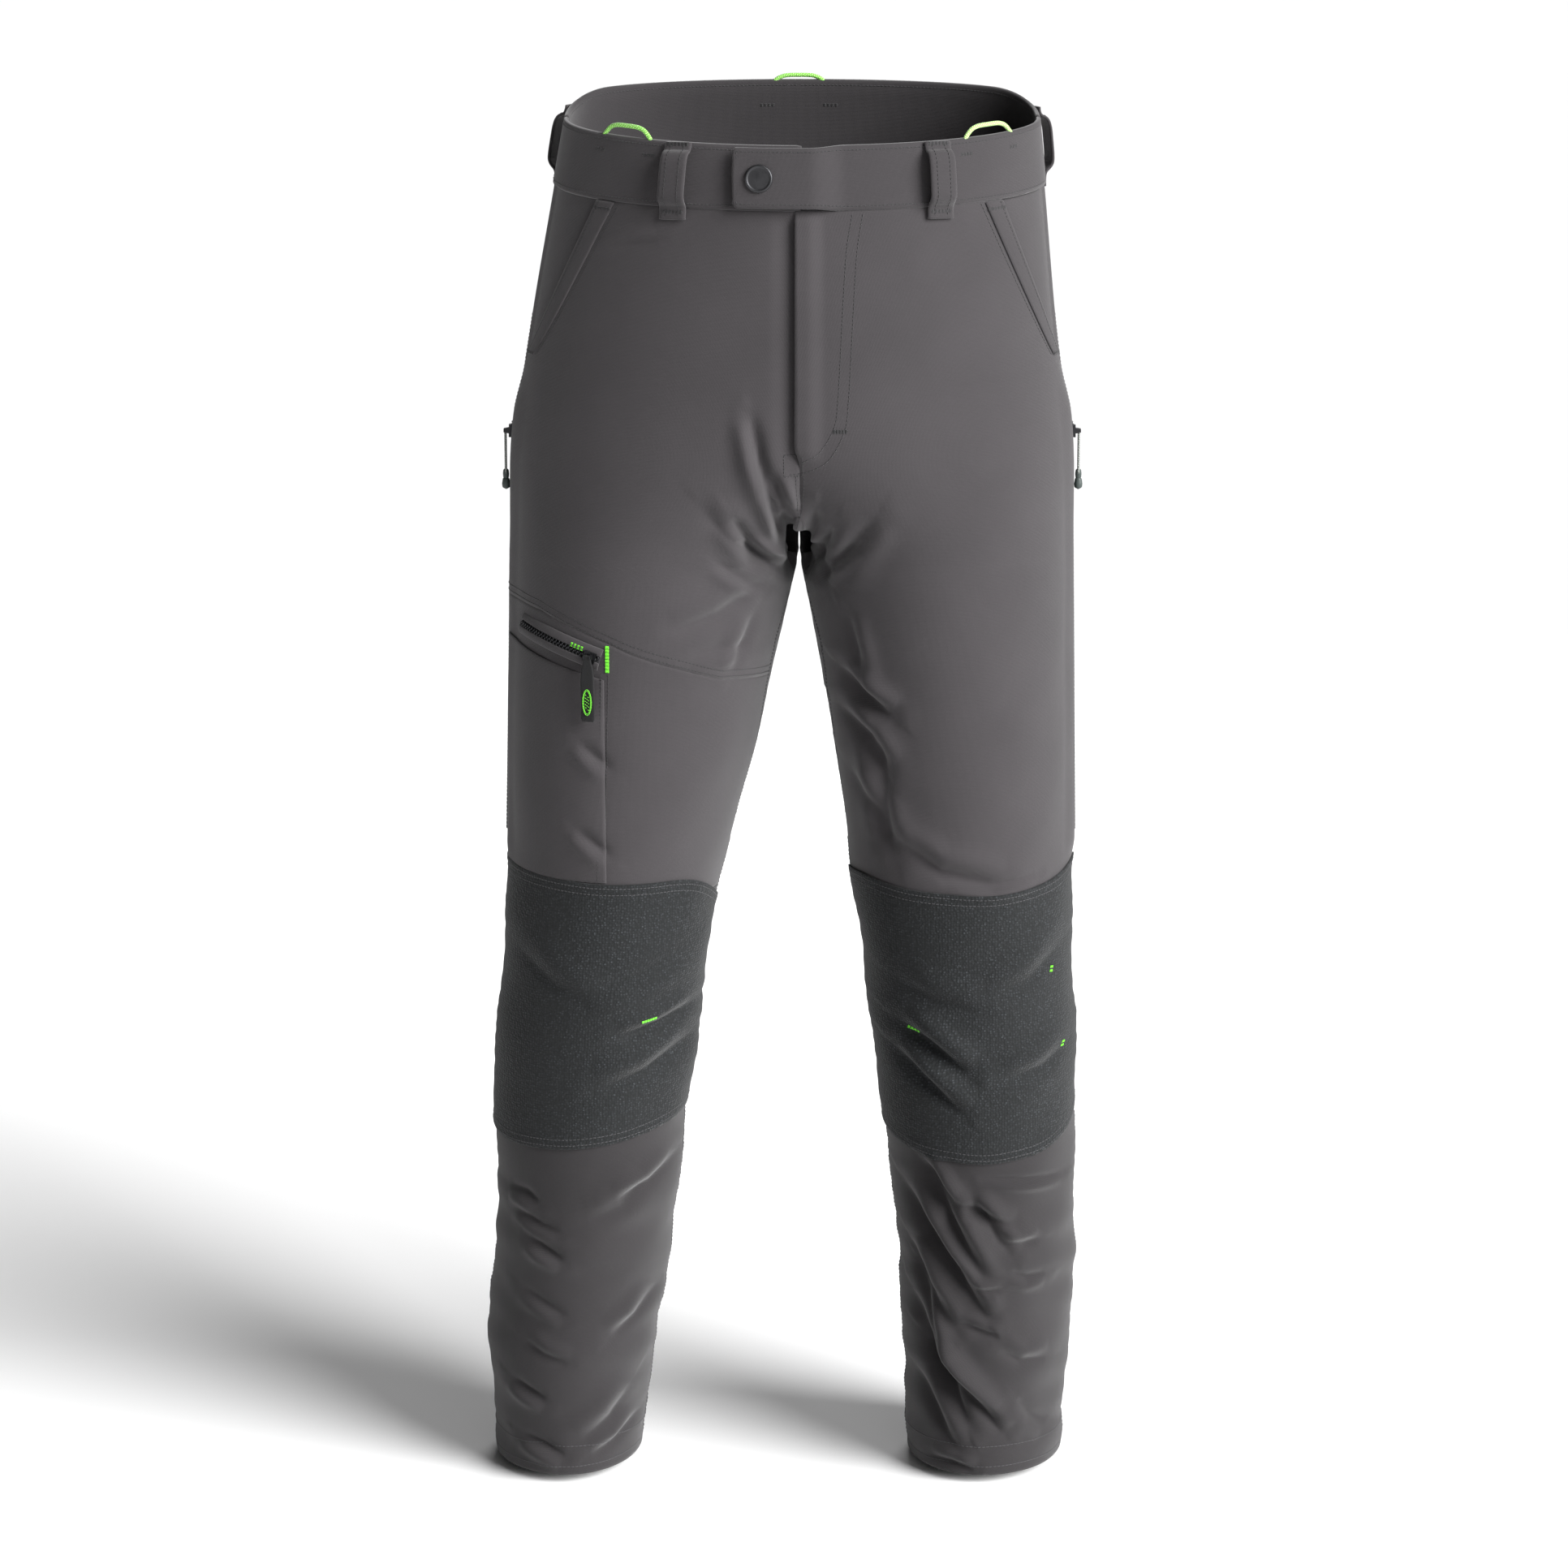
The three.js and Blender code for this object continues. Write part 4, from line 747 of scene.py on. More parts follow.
class Nodes:
    """A short way to write a material's nodes."""

    def __init__(self, name):
        self.material = bpy.data.materials.new(name)
        self.material.use_nodes = True
        self.tree = self.material.node_tree
        self.shader = self.tree.nodes["Principled BSDF"]
        self.uv = self.add("ShaderNodeTexCoord").outputs["UV"]
        self.object = self.tree.nodes[-1].outputs["Object"]

    def add(self, kind, **values):
        node = self.tree.nodes.new(kind)
        for key, value in values.items():
            if isinstance(value, bpy.types.NodeSocket):
                self.tree.links.new(value, node.inputs[key])
            elif key in node.inputs:
                node.inputs[key].default_value = value
            else:
                setattr(node, key, value)
        return node

    def noise(self, scale, detail=3.0, vector=None, rough=0.5):
        node = self.add("ShaderNodeTexNoise", Scale=scale, Detail=detail, Roughness=rough)
        self.tree.links.new(vector or self.object, node.inputs["Vector"])
        return node.outputs["Fac"]

    def wave(self, pitch, direction, distortion=0.0):
        """Bands a pitch apart, in millimetres."""
        node = self.add(
            "ShaderNodeTexWave",
            Scale=math.tau / (20 * pitch * MM),
            Distortion=distortion,
            bands_direction=direction,
        )
        node.inputs["Detail Scale"].default_value = 1.0
        self.tree.links.new(self.uv, node.inputs["Vector"])
        return node.outputs["Fac"]

    def math(self, operation, a, b=0.0):
        node = self.tree.nodes.new("ShaderNodeMath")
        node.operation = operation
        for k, value in enumerate((a, b)):
            if isinstance(value, bpy.types.NodeSocket):
                self.tree.links.new(value, node.inputs[k])
            else:
                node.inputs[k].default_value = value
        return node.outputs[0]

    def ramp(self, value, stops):
        node = self.tree.nodes.new("ShaderNodeValToRGB")
        ramp = node.color_ramp
        while len(ramp.elements) < len(stops):
            ramp.elements.new(0.5)
        for element, (at, colour) in zip(ramp.elements, stops):
            element.position = at
            element.color = colour
        self.tree.links.new(value, node.inputs["Fac"])
        return node.outputs["Color"]

    def colour(self, value):
        self.tree.links.new(value, self.shader.inputs["Base Color"])

    def bump(self, height, distance, strength=1.0):
        node = self.add("ShaderNodeBump", Strength=strength, Distance=distance * MM)
        self.tree.links.new(height, node.inputs["Height"])
        self.tree.links.new(node.outputs["Normal"], self.shader.inputs["Normal"])

    def rough(self, value):
        self.tree.links.new(value, self.shader.inputs["Roughness"])

    def set(self, **values):
        for key, value in values.items():
            self.shader.inputs[key.replace("_", " ")].default_value = value
        return self


def tinted(colour, factor):
    return tuple(min(1.0, c * factor) for c in colour[:3]) + (1.0,)


def woven(name, colour, pitch, depth, speck=0.0, spread=0.2, sheen=0.25, rough=0.82, twill=False):
    """A woven cloth: threads both ways, small slubs and a soft, uneven tone."""
    n = Nodes(name)
    warp = n.wave(pitch, "X", 2.2)
    weft = n.wave(pitch * (1.15 if not twill else 0.9), "DIAGONAL" if twill else "Y", 2.2)
    weave = n.math("MULTIPLY", warp, weft)
    slub = n.noise(900, 2)
    cloud = n.noise(14, 4)
    tone = n.math("ADD", n.math("MULTIPLY", cloud, 0.55), n.math("MULTIPLY", slub, 0.3))
    tone = n.math("ADD", tone, n.math("MULTIPLY", weave, 0.08 + speck))
    n.colour(n.ramp(tone, ((0.22, tinted(colour, 1 - spread)), (0.85, tinted(colour, 1 + spread)))))
    n.rough(n.math("ADD", n.math("MULTIPLY", slub, 0.2), rough - 0.1))
    n.bump(n.math("ADD", weave, n.math("MULTIPLY", slub, 0.35)), depth)
    n.set(Sheen_Weight=sheen, Sheen_Roughness=0.45, Specular_IOR_Level=0.25)
    return n.material


def patch_cloth(name):
    """A coarse abrasion-resistant weave: dark yarn with paler knots in uneven rows."""
    n = Nodes(name)
    stretch = n.add("ShaderNodeMapping")
    n.tree.links.new(n.uv, stretch.inputs["Vector"])
    stretch.inputs["Scale"].default_value = (430.0, 520.0, 1.0)
    knots = n.add("ShaderNodeTexVoronoi", Scale=1.0, Randomness=0.55)
    n.tree.links.new(stretch.outputs["Vector"], knots.inputs["Vector"])
    knot = n.math("SUBTRACT", 1.0, n.math("MULTIPLY", knots.outputs["Distance"], 1.35))
    uneven = n.noise(260, 3)
    cloud = n.noise(18, 4)
    lift = n.math("MULTIPLY", knot, n.math("ADD", n.math("MULTIPLY", uneven, 1.0), 0.25))
    tone = n.math("ADD", n.math("MULTIPLY", lift, 0.85), n.math("MULTIPLY", cloud, 0.18))
    n.colour(
        n.ramp(tone, ((0.2, srgb(18, 20, 21)), (0.5, srgb(29, 31, 33)), (0.86, srgb(68, 72, 75))))
    )
    n.rough(n.math("ADD", n.math("MULTIPLY", uneven, 0.2), 0.72))
    n.bump(n.math("ADD", knot, n.math("MULTIPLY", uneven, 0.4)), 0.45)
    n.set(Sheen_Weight=0.12, Specular_IOR_Level=0.3)
    return n.material


def thread(name, colour):
    n = Nodes(name)
    twist = n.noise(2600, 2)
    n.colour(n.ramp(twist, ((0.3, tinted(colour, 0.78)), (0.75, tinted(colour, 1.18)))))
    n.bump(twist, 0.06)
    n.set(Roughness=0.62, Sheen_Weight=0.2)
    return n.material


def painted_metal(name, colour, rough, worn=0.5):
    n = Nodes(name)
    grain = n.noise(700, 4)
    scuff = n.noise(120, 5)
    n.colour(n.ramp(scuff, ((0.35, colour), (0.72, tinted(colour, 1 + worn)))))
    n.rough(n.math("ADD", n.math("MULTIPLY", grain, 0.24), rough - 0.12))
    n.bump(grain, 0.03)
    n.set(Metallic=0.85)
    return n.material


def moulded(name, colour, rough):
    n = Nodes(name)
    grain = n.noise(1500, 3)
    cloud = n.noise(60, 2)
    n.colour(n.ramp(cloud, ((0.3, tinted(colour, 0.88)), (0.7, tinted(colour, 1.1)))))
    n.rough(n.math("ADD", n.math("MULTIPLY", grain, 0.15), rough - 0.07))
    n.bump(grain, 0.05)
    return n.material


def braided(name, colour, pale):
    n = Nodes(name)
    cross = n.math("MULTIPLY", n.wave(1.1, "DIAGONAL", 0.3), n.wave(1.5, "Y", 0.3))
    n.colour(n.ramp(cross, ((0.1, tinted(colour, 0.8)), (0.6, pale))))
    n.bump(cross, 0.25)
    n.set(Roughness=0.7, Sheen_Weight=0.3)
    return n.material


SHELL_COLOUR = srgb(61, 58, 60)
cloth_shell = woven("shell_cloth", SHELL_COLOUR, 0.7, 0.16)
cloth_band = woven("band_cloth", tinted(SHELL_COLOUR, 0.94), 0.7, 0.16)
# Back band cloth: the shell colour darkened to 0.72, painted shade for the band's inside face, which lies in
# shade inside the waist opening. The outside of the back band gets the same darker colour.
cloth_back_band_painted_shade = woven("back_band_cloth_painted_shade", tinted(SHELL_COLOUR, 0.72), 0.7, 0.16)
# Shin, calf and hem cloth: the shell colour darkened to 0.56, painted shade for the dimmer light below the
# knees. It is the same fabric, so this shows as a hard change of colour at the knee seam.
cloth_shin_painted_shade = woven("shin_cloth_painted_shade", tinted(SHELL_COLOUR, 0.56), 0.7, 0.16)
cloth_stretch = woven("stretch_cloth", tinted(SHELL_COLOUR, 0.8), 0.55, 0.14, twill=True)
cloth_patch = patch_cloth("patch_cloth")
cloth_lining = woven("lining_cloth", srgb(40, 41, 44), 1.6, 0.3, speck=0.2, sheen=0.1)
cloth_pocket = woven("pocket_cloth", srgb(52, 52, 55), 0.6, 0.1, sheen=0.1)
cloth_pad = woven("pad_felt", srgb(205, 200, 182), 2.4, 0.5, spread=0.12, sheen=0.4)
cloth_tape = woven("zip_tape_cloth", srgb(42, 41, 43), 0.6, 0.14, sheen=0.1, twill=True)
# Stitching thread far darker than the cloth: partly the thread's own dark colour, partly painted shade for the
# seam grooves, which are not modelled.
thread_dark_seam_shade = thread("thread_dark_seam_shade", srgb(22, 21, 23))
thread_grey = thread("thread_grey", srgb(52, 51, 54))
thread_lime = thread("thread_lime", srgb(112, 226, 40))
metal_dark = painted_metal("zip_metal_finish", srgb(44, 44, 46), 0.38)
metal_snap = painted_metal("snap_finish", srgb(62, 62, 64), 0.42, worn=0.3)
elastic_lime = braided("elastic_lime", srgb(120, 214, 60), srgb(196, 240, 150))
elastic_pale = braided("elastic_pale", srgb(168, 222, 110), srgb(222, 246, 186))
pull_rubber = moulded("pull_rubber", srgb(58, 66, 64), 0.5)
pull_line = braided("pull_line", srgb(120, 124, 120), srgb(176, 180, 174))
ribbon_black = woven("ribbon_cloth", srgb(26, 26, 27), 0.5, 0.15, sheen=0.15, twill=True)


# ---- Edges that the pieces share ----
def gusset_edge(level):
    drop = CROTCH - np.asarray(level, float)
    up = GUSSET_SHARE * drop / GUSSET_WIDEST
    down = GUSSET_SHARE * (GUSSET_LENGTH - drop) / (GUSSET_LENGTH - GUSSET_WIDEST)
    return np.clip(np.minimum(up, down), 0, 1)


def inseam_edge(level):
    return 1 - gusset_edge(level)


def slant_edge(side):
    """The slant pocket's edge as a turn at each level, 0 below its foot."""
    foot = float(section(side, FRONT, BAND_SEAM - SLANT_DROP)[1])

    def edge(level):
        share = np.clip((BAND_SEAM - np.asarray(level, float)) / SLANT_DROP, 0, 1)
        distance = SLANT_TOP + (foot - SLANT_TOP) * share
        turn = turn_at(side, FRONT, level, distance)
        return np.where(share >= 1, 0.0, turn)

    return edge


THIGH_SEAM = (
    (-229, -367), (-215, -369), (-201, -372), (-177, -382), (-148, -393), (-130, -401),
    (-113, -407), (-81, -417), (-61, -424), (-41, -430),
)


def thigh_seam_share():
    """The thigh seam as a level for each share of the way across the front."""
    shares, levels = [], []
    for x, z in THIGH_SEAM:
        shares.append(float(turn_at(-1, FRONT, z, abs(x)) / inseam_edge(z)))
        levels.append(z)
    shares[0] = 0.0
    shares[-1] = 1.0

    def seam(s):
        return np.interp(s, shares, levels)

    return seam


thigh_seam = thigh_seam_share()
PATCH_EDGES = {
    "R": (
        ((0.0, -577), (0.2, -580), (0.45, -583), (0.72, -583), (0.8, -588), (1.0, -612)),
        ((0.0, -797), (0.2, -803), (0.42, -801), (0.62, -795), (0.82, -787), (1.0, -782)),
    ),
    "L": (
        ((0.0, -577), (0.2, -587), (0.42, -592), (0.66, -590), (0.85, -584), (1.0, -588)),
        (
            (0.0, -780), (0.14, -794), (0.3, -808), (0.5, -814), (0.72, -810), (0.9, -801),
            (1.0, -794),
        ),
    ),
}


def edge_curve(points):
    s, z = np.array(points, float).T
    fine = np.linspace(0, 1, 101)
    raw = np.interp(fine, s, z)
    soft = np.convolve(np.pad(raw, 5, mode="edge"), np.ones(11) / 11, mode="valid")
    return lambda share: np.interp(share, fine, soft)


# ---- Shell ----
dark = Stitches()
grey = Stitches()
lime = Stitches()


def cloth_piece(
    name, side, face, options, material, stands_for=(),
):
    obj, middle = surface_piece(name, side, face, options)
    dress(obj, material, BODY, stands_for)
    declare_sheet(middle)
    return obj


def shell_panels(side, tag):
    if side > 0:
        def end(level):
            along = smooth(FLY_FOOT - 4, FLY_FOOT + 14, level)
            span, outer, half, _, _ = section(1, FRONT, level)
            past = np.arccos(np.clip(1 - (outer + FLY_OVERLAP) / half, -1, 1)) / span
            return inseam_edge(level) + (np.maximum(past, 1) - 1) * along
    else:
        end = inseam_edge
    mouth, gap = slant_edge(side), zip_gap(side, FRONT)
    whole = {
        "top": BAND_SEAM, "bottom": KNEE_SEAM, "end": end,
        "start": lambda level: np.maximum(mouth(level), gap(level)),
    }
    if side < 0:
        upper = dict(whole, bottom=thigh_seam)
        lower = dict(whole, top=thigh_seam)
        cloth_piece(
            "front_panel_R", side, FRONT, upper, cloth_shell, ["front_panel_R"],
        )
        cloth_piece(
            "thigh_panel_R", side, FRONT, lower, cloth_shell,
        )
    else:
        cloth_piece(
            "front_panel_L", side, FRONT, whole, cloth_shell, ["front_panel_L"],
        )
    back = {"top": BAND_SEAM, "bottom": KNEE_SEAM, "start": zip_gap(side, BACK), "end": inseam_edge}
    cloth_piece(
        "back_panel_" + tag, side, BACK, back, cloth_shell, ["back_panel_" + tag]
    )
    shin = {"top": KNEE_SEAM, "bottom": HEM, "step": 2.2}
    cloth_piece("shin_panel_" + tag, side, FRONT, shin, cloth_shin_painted_shade, ["shin_panel_" + tag])
    cloth_piece("calf_panel_" + tag, side, BACK, shin, cloth_shin_painted_shade, ["calf_panel_" + tag])


def gusset(side, tag):
    levels = np.linspace(CROTCH - 4, CROTCH - GUSSET_LENGTH + 6, 76)
    reach = gusset_edge(levels)[:, None]
    share = np.linspace(1, 0, 8)[None, :]
    grids = []
    for offset in (0.0, -SHELL):
        front = place(side, FRONT, 1 - reach * share, levels[:, None] + 0 * share, offset)
        back = place(side, BACK, 1 - reach * share[:, ::-1], levels[:, None] + 0 * share, offset)
        middle = (front[:, -1] + back[:, 0]) / 2
        front[:, -1] = middle
        grids.append(np.concatenate([front, back[:, 1:]], axis=1))
    obj = sheet_mesh("crotch_gusset_" + tag, grids[0], grids[1], grid_uv(grids[0]))
    dress(obj, cloth_stretch, BODY, ["crotch_gusset_" + tag])
    declare_sheet(
        (grids[0] + grids[1]) / 2
    )
    for face in (FRONT, BACK):
        turns = 1 - gusset_edge(levels) - 0.006
        path, outs = on_surface(side, face, turns[3:-3], levels[3:-3], 0.05)
        dark.row(path, outs)


def knee_patch(side, tag):
    top, bottom = (edge_curve(points) for points in PATCH_EDGES[tag])
    options = {
        "top": top, "bottom": bottom, "start": 0.004, "end": 0.996, "outer": 1.7, "thick": 1.5,
        "step": 2.4,
    }
    cloth_piece("knee_patch_" + tag, side, FRONT, options, cloth_patch, ["knee_patch_" + tag])
    s = np.linspace(0.01, 0.99, 180)
    for inset in (3.0, 8.0):
        for edge, sign in ((top, -1), (bottom, 1)):
            path, outs = on_surface(side, FRONT, 0.004 + s * 0.992, edge(s) + sign * inset, 1.75)
            grey.row(path, outs, pitch=3.2)


def inner_layers(side, tag):
    pad_options = {
        "top": PAD_TOP, "bottom": PAD_FOOT, "start": 0.1, "end": 0.8,
        "outer": PAD_IN, "thick": PAD, "step": 6.0, "lap": 0.0,
    }
    obj, _ = surface_piece("protective_pad_" + tag, side, FRONT, pad_options)
    dress(obj, cloth_pad, BODY, ["protective_pad_" + tag])
    lining = {
        "top": PAD_TOP + 30, "bottom": PAD_FOOT - 8, "start": 0.06, "end": 0.8,
        "outer": LINING_IN, "thick": THIN, "step": 6.0, "lap": 0.0,
    }
    cloth_piece("leg_lining_" + tag, side, FRONT, lining, cloth_lining, ["leg_lining_" + tag])


def ring_grid(side, levels, offset, count=90):
    half = np.linspace(0, 1, count)[None, :]
    rows = levels[:, None]
    front = place(side, FRONT, half, rows, offset)
    back = place(side, BACK, half[:, ::-1], rows, offset)
    seam = (front[:, -1] + back[:, 0]) / 2
    front[:, -1] = seam
    side_seam = (front[:, 0] + back[:, -1]) / 2
    front[:, 0] = side_seam
    back[:, -1] = side_seam
    return np.concatenate([front, back[:, 1:]], axis=1)


def hem_band(side, tag):
    levels = np.linspace(HEM + HEM_HEIGHT, HEM + 0.8, 9)
    outer, inner = ring_grid(side, levels, -SHELL - 0.3), ring_grid(
        side, levels, -SHELL - 0.3 - THIN
    )
    obj = sheet_mesh("hem_band_" + tag, outer, inner, grid_uv(outer))
    dress(obj, cloth_shin_painted_shade, BODY, ["hem_band_" + tag])
    declare_sheet((outer + inner) / 2)
    for lift in (7.0, HEM_HEIGHT - 2):
        turns = np.linspace(0, 1, 120)
        for face in (FRONT, BACK):
            path, outs = on_surface(side, face, turns, np.full(120, HEM + lift), 0.06)
            grey.row(path, outs, pitch=3.4)


# ---- Pockets ----
def hand_pocket(side, tag):
    mouth = slant_edge(side)

    def facing_out(turn, level):
        width = arc_width(side, FRONT, level)
        flush = smooth(13, 3, turn * width) * smooth(3, 12, (mouth(level) - turn) * width)
        return FACING_IN * (1 - flush) - 0.15 * flush

    facing = {
        "top": BAND_SEAM, "bottom": BAND_SEAM - SLANT_DROP - 12, "end": 0.5, "outer": facing_out, "thick": THIN,
    }
    cloth_piece("hand_pocket_facing_" + tag, side, FRONT, facing, cloth_shell,
                ["hand_pocket_facing_" + tag])
    bag = {
        "top": BAND_SEAM, "bottom": BAND_SEAM - 235, "start": 0.03, "end": 0.62,
        "outer": BAG_IN, "thick": THIN, "step": 5.0, "lap": 0.0,
    }
    cloth_piece("hand_pocket_bag_" + tag, side, FRONT, bag, cloth_pocket,
                ["hand_pocket_bag_" + tag])
    edge = slant_edge(side)

    def width_turn(level, width):
        arc = np.linalg.norm(
            body_point(side, FRONT, 0.1, level) - body_point(side, FRONT, 0.0, level)
        )
        return width / (arc * 10)

    levels = np.linspace(BAND_SEAM - 2, BAND_SEAM - SLANT_DROP * 0.93, 60)
    starts = np.array([float(edge(v)) for v in levels])
    widths = np.array([float(width_turn(np.float64(v), WELT_WIDTH)) for v in levels])
    share = np.linspace(0, 1, 9)[None, :]
    turn = starts[:, None] + widths[:, None] * (share - 0.04)
    crown = 0.35 * np.sin(math.pi * share) + 0 * turn
    outer = place(side, FRONT, turn, levels[:, None] + 0 * turn, 1.35 + crown)
    inner = place(side, FRONT, turn, levels[:, None] + 0 * turn, 0.15)
    obj = sheet_mesh("hand_pocket_welt_" + tag, outer, inner, grid_uv(outer))
    dress(obj, cloth_shell, BODY, ["hand_pocket_welt_" + tag])
    declare_sheet((outer + inner) / 2)
    for width, offset in ((2.0, 1.55), (WELT_WIDTH + 2.5, 0.05)):
        turns = starts + widths * width / WELT_WIDTH
        path, outs = on_surface(side, FRONT, turns, levels, offset)
        dark.row(path, outs)
    for level in (BAND_SEAM - 8, BAND_SEAM - SLANT_DROP * 0.93):
        start, wide = float(edge(level)), float(width_turn(np.float64(level), WELT_WIDTH))
        for k in range(4):
            path, outs = on_surface(
                side, FRONT, np.linspace(start, start + wide, 8), level + 0.5 * k, 1.7
            )
            dark.row(path, outs, pitch=2.4, gap=0.2, radius=0.35)


def back_pocket_welt(side, tag):
    top = BAND_SEAM - 66
    options = {
        "top": top, "bottom": top - 14, "start": 0.42, "end": 0.8, "outer": 1.5, "thick": 1.3,
        "step": 1.6,
    }
    cloth_piece("back_pocket_welt_" + tag, side, BACK, options, cloth_stretch,
                ["back_pocket_welt_" + tag])
    turns = np.linspace(0.425, 0.795, 60)
    for level in (top - 1.8, top - 12.2):
        path, outs = on_surface(side, BACK, turns, np.full(60, level), 1.6)
        dark.row(path, outs)
    for turn in (0.427, 0.793):
        for k in range(4):
            path, outs = on_surface(
                side, BACK, turn + 0.0008 * k, np.linspace(top - 1, top - 13, 8), 1.7
            )
            lime.row(path, outs, pitch=2.4, gap=0.2, radius=0.35)


def thigh_pocket():
    side = -1

    def front_edge(level):
        return turn_at(side, FRONT, level, THIGH_POCKET_FRONT)

    options = {
        "top": lambda s: np.interp(s, (0, 0.4, 1), (-398, -406, -421)), "bottom": CROTCH - 246.0,
        "start": 0.05, "end": front_edge, "outer": 1.3, "thick": 1.1, "swell": 3.2, "step": 2.4,
    }
    cloth_piece("thigh_pocket_R", side, FRONT, options, cloth_shell, ["thigh_pocket_R"])
    levels = np.linspace(-416, -580, 90)
    for x_top, x_foot, offset in ((151.5, 156.5, 1.5), (146.5, 151.0, 0.1)):
        x = np.interp(levels, (-580, -416), (x_foot, x_top))
        path, outs = on_surface(side, FRONT, turn_at(side, FRONT, levels, x), levels, offset)
        dark.row(path, outs)
    for k in range(5):
        x = 146.2 + 0.55 * k
        levels = np.linspace(-394, -415, 10)
        path, outs = on_surface(side, FRONT, turn_at(side, FRONT, levels, x), levels, 0.5)
        lime.row(path, outs, pitch=2.6, gap=0.1, radius=0.42)


# ---- Waistband ----
def band_profile(rows=17):
    """Levels down the band, closer together at its edges."""
    t = np.linspace(0, 1, rows)
    return BAND_SEAM * (t - 0.06 * np.sin(math.tau * t))


BACK_RISE = 8.0


def back_rise(turn):
    """The back of the band stands higher than the side seams."""
    return BACK_RISE * smooth(0.0, 0.38, turn)


def waistband_back():
    count = 110
    levels = band_profile()[:, None]
    half = np.linspace(0, 1, count)[None, :]
    grids = []
    raised = levels + back_rise(half) * (1 + levels / BAND_HEIGHT)
    for offset in (BAND_PROUD, BAND_PROUD - BAND_THICK):
        right = place(-1, BACK, half, raised, offset)
        left = place(1, BACK, half[:, ::-1], raised[:, ::-1], offset)
        middle = (right[:, -1] + left[:, 0]) / 2
        right[:, -1] = middle
        grids.append(np.concatenate([right, left[:, 1:]], axis=1))
    obj = sheet_mesh("waistband_back", grids[0], grids[1], grid_uv(grids[0]))
    dress(obj, cloth_back_band_painted_shade, BODY, ["waistband_back"])
    declare_sheet((grids[0] + grids[1]) / 2)
    for side in (-1, 1):
        turns = np.linspace(0.005, 0.995, 150)
        for level in (-3.0, BAND_SEAM + 2.6):
            for offset, flip in ((BAND_PROUD + 0.05, 1), (BAND_PROUD - BAND_THICK - 0.05, -1)):
                rise = back_rise(turns) * (1 + level / BAND_HEIGHT)
                path, outs = on_surface(side, BACK, turns, level + rise, offset)
                dark.row(path, outs * flip)


def waistband_front_right():
    turns = np.linspace(0, 1, 100)[None, :]
    levels = band_profile()[:, None]
    outer = place(-1, FRONT, turns, levels + 0 * turns, BAND_PROUD)
    inner = place(-1, FRONT, turns, levels + 0 * turns, BAND_PROUD - BAND_THICK)
    obj = sheet_mesh("waistband_front_R", outer, inner, grid_uv(outer))
    dress(obj, cloth_band, BODY, ["waistband_front_R"])
    declare_sheet((outer + inner) / 2)
    for level in (-3.0, BAND_SEAM + 2.6):
        path, outs = on_surface(
            -1, FRONT, np.linspace(0.005, 0.99, 150), np.full(150, level), BAND_PROUD + 0.05
        )
        dark.row(path, outs)


def band_left_points(x, level, offset):
    """The left band's surface, which runs past the centre as the tab. x may be below 0."""
    side_is_left = x >= 0
    level_turn = turn_at(1, FRONT, 0.0, np.maximum(x, 0))
    left = place(1, FRONT, level_turn, level, offset, lap=0.0)
    right = place(-1, FRONT, turn_at(-1, FRONT, level, np.maximum(-x, 0)), level, offset, lap=0.0)
    return np.where(side_is_left[..., None], left, right)


def waistband_front_left():
    """The left band and its tab, one strip that lifts off over the right band."""
    far = float(section(1, FRONT, 0.0)[1])
    angle = np.linspace(0, 1, 110)
    x = np.concatenate([far * np.cos(angle * math.pi / 2)[:-1], np.linspace(0, TAB_TIP, 34)])
    x[0] = far
    t = np.linspace(0, 1, 17)
    grids = []
    lift = smooth(34, 6, x)
    tip = np.clip((x - TAB_TIP) / 3.0, 0, 1)
    corner = 3.0 * (1 - np.sqrt(1 - (1 - tip) ** 2))
    shrink = lift * TAB_EDGE + corner
    high, low = -shrink, BAND_SEAM + shrink
    level = high[None, :] * (1 - t[:, None]) + low[None, :] * t[:, None]
    grid_x = np.broadcast_to(x, level.shape)
    back = BAND_PROUD + TAB_STAND
    outer_offset = BAND_PROUD + lift * (back + TAB_THICK - BAND_PROUD)
    inner_offset = BAND_PROUD - BAND_THICK + lift * (back - BAND_PROUD + BAND_THICK)
    bow = 0.5 * np.sin(math.pi * t)[:, None] * smooth(0, -30, x)[None, :]
    for offset in (outer_offset, inner_offset):
        grids.append(band_left_points(grid_x, level, offset[None, :] + bow))
    obj = sheet_mesh("waistband_front_L", grids[0], grids[1], grid_uv(grids[0]))
    dress(obj, cloth_band, None, ["waistband_front_L", "closure_tab"])
    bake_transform(obj)
    declare_sheet((grids[0] + grids[1]) / 2)
    seams = Stitches()
    run = np.linspace(far - 2, TAB_TIP + 2.6, 260)
    lifted = smooth(34, 6, run)
    offset = BAND_PROUD + lifted * (back + TAB_THICK - BAND_PROUD) + 0.06
    for high_edge in (True, False):
        shrink_run = lifted * TAB_EDGE
        level = -shrink_run - 2.6 if high_edge else BAND_SEAM + shrink_run + 2.6
        path = band_left_points(run, level, offset)
        outs = unit(np.stack([run * 0.5, np.full(run.shape, -150.0), np.zeros(run.shape)], axis=-1))
        seams.row(path, outs)
    rise = np.linspace(-TAB_EDGE - 2.6, BAND_SEAM + TAB_EDGE + 2.6, 40)
    edge_x = np.full(40, TAB_TIP + 2.6)
    path = band_left_points(edge_x, rise, np.full(40, back + TAB_THICK + 0.06))
    seams.row(path, np.tile([-0.15, -1.0, 0.0], (40, 1)))
    stitched = seams.build("tab_stitching", thread_dark_seam_shade, None)
    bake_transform(stitched)


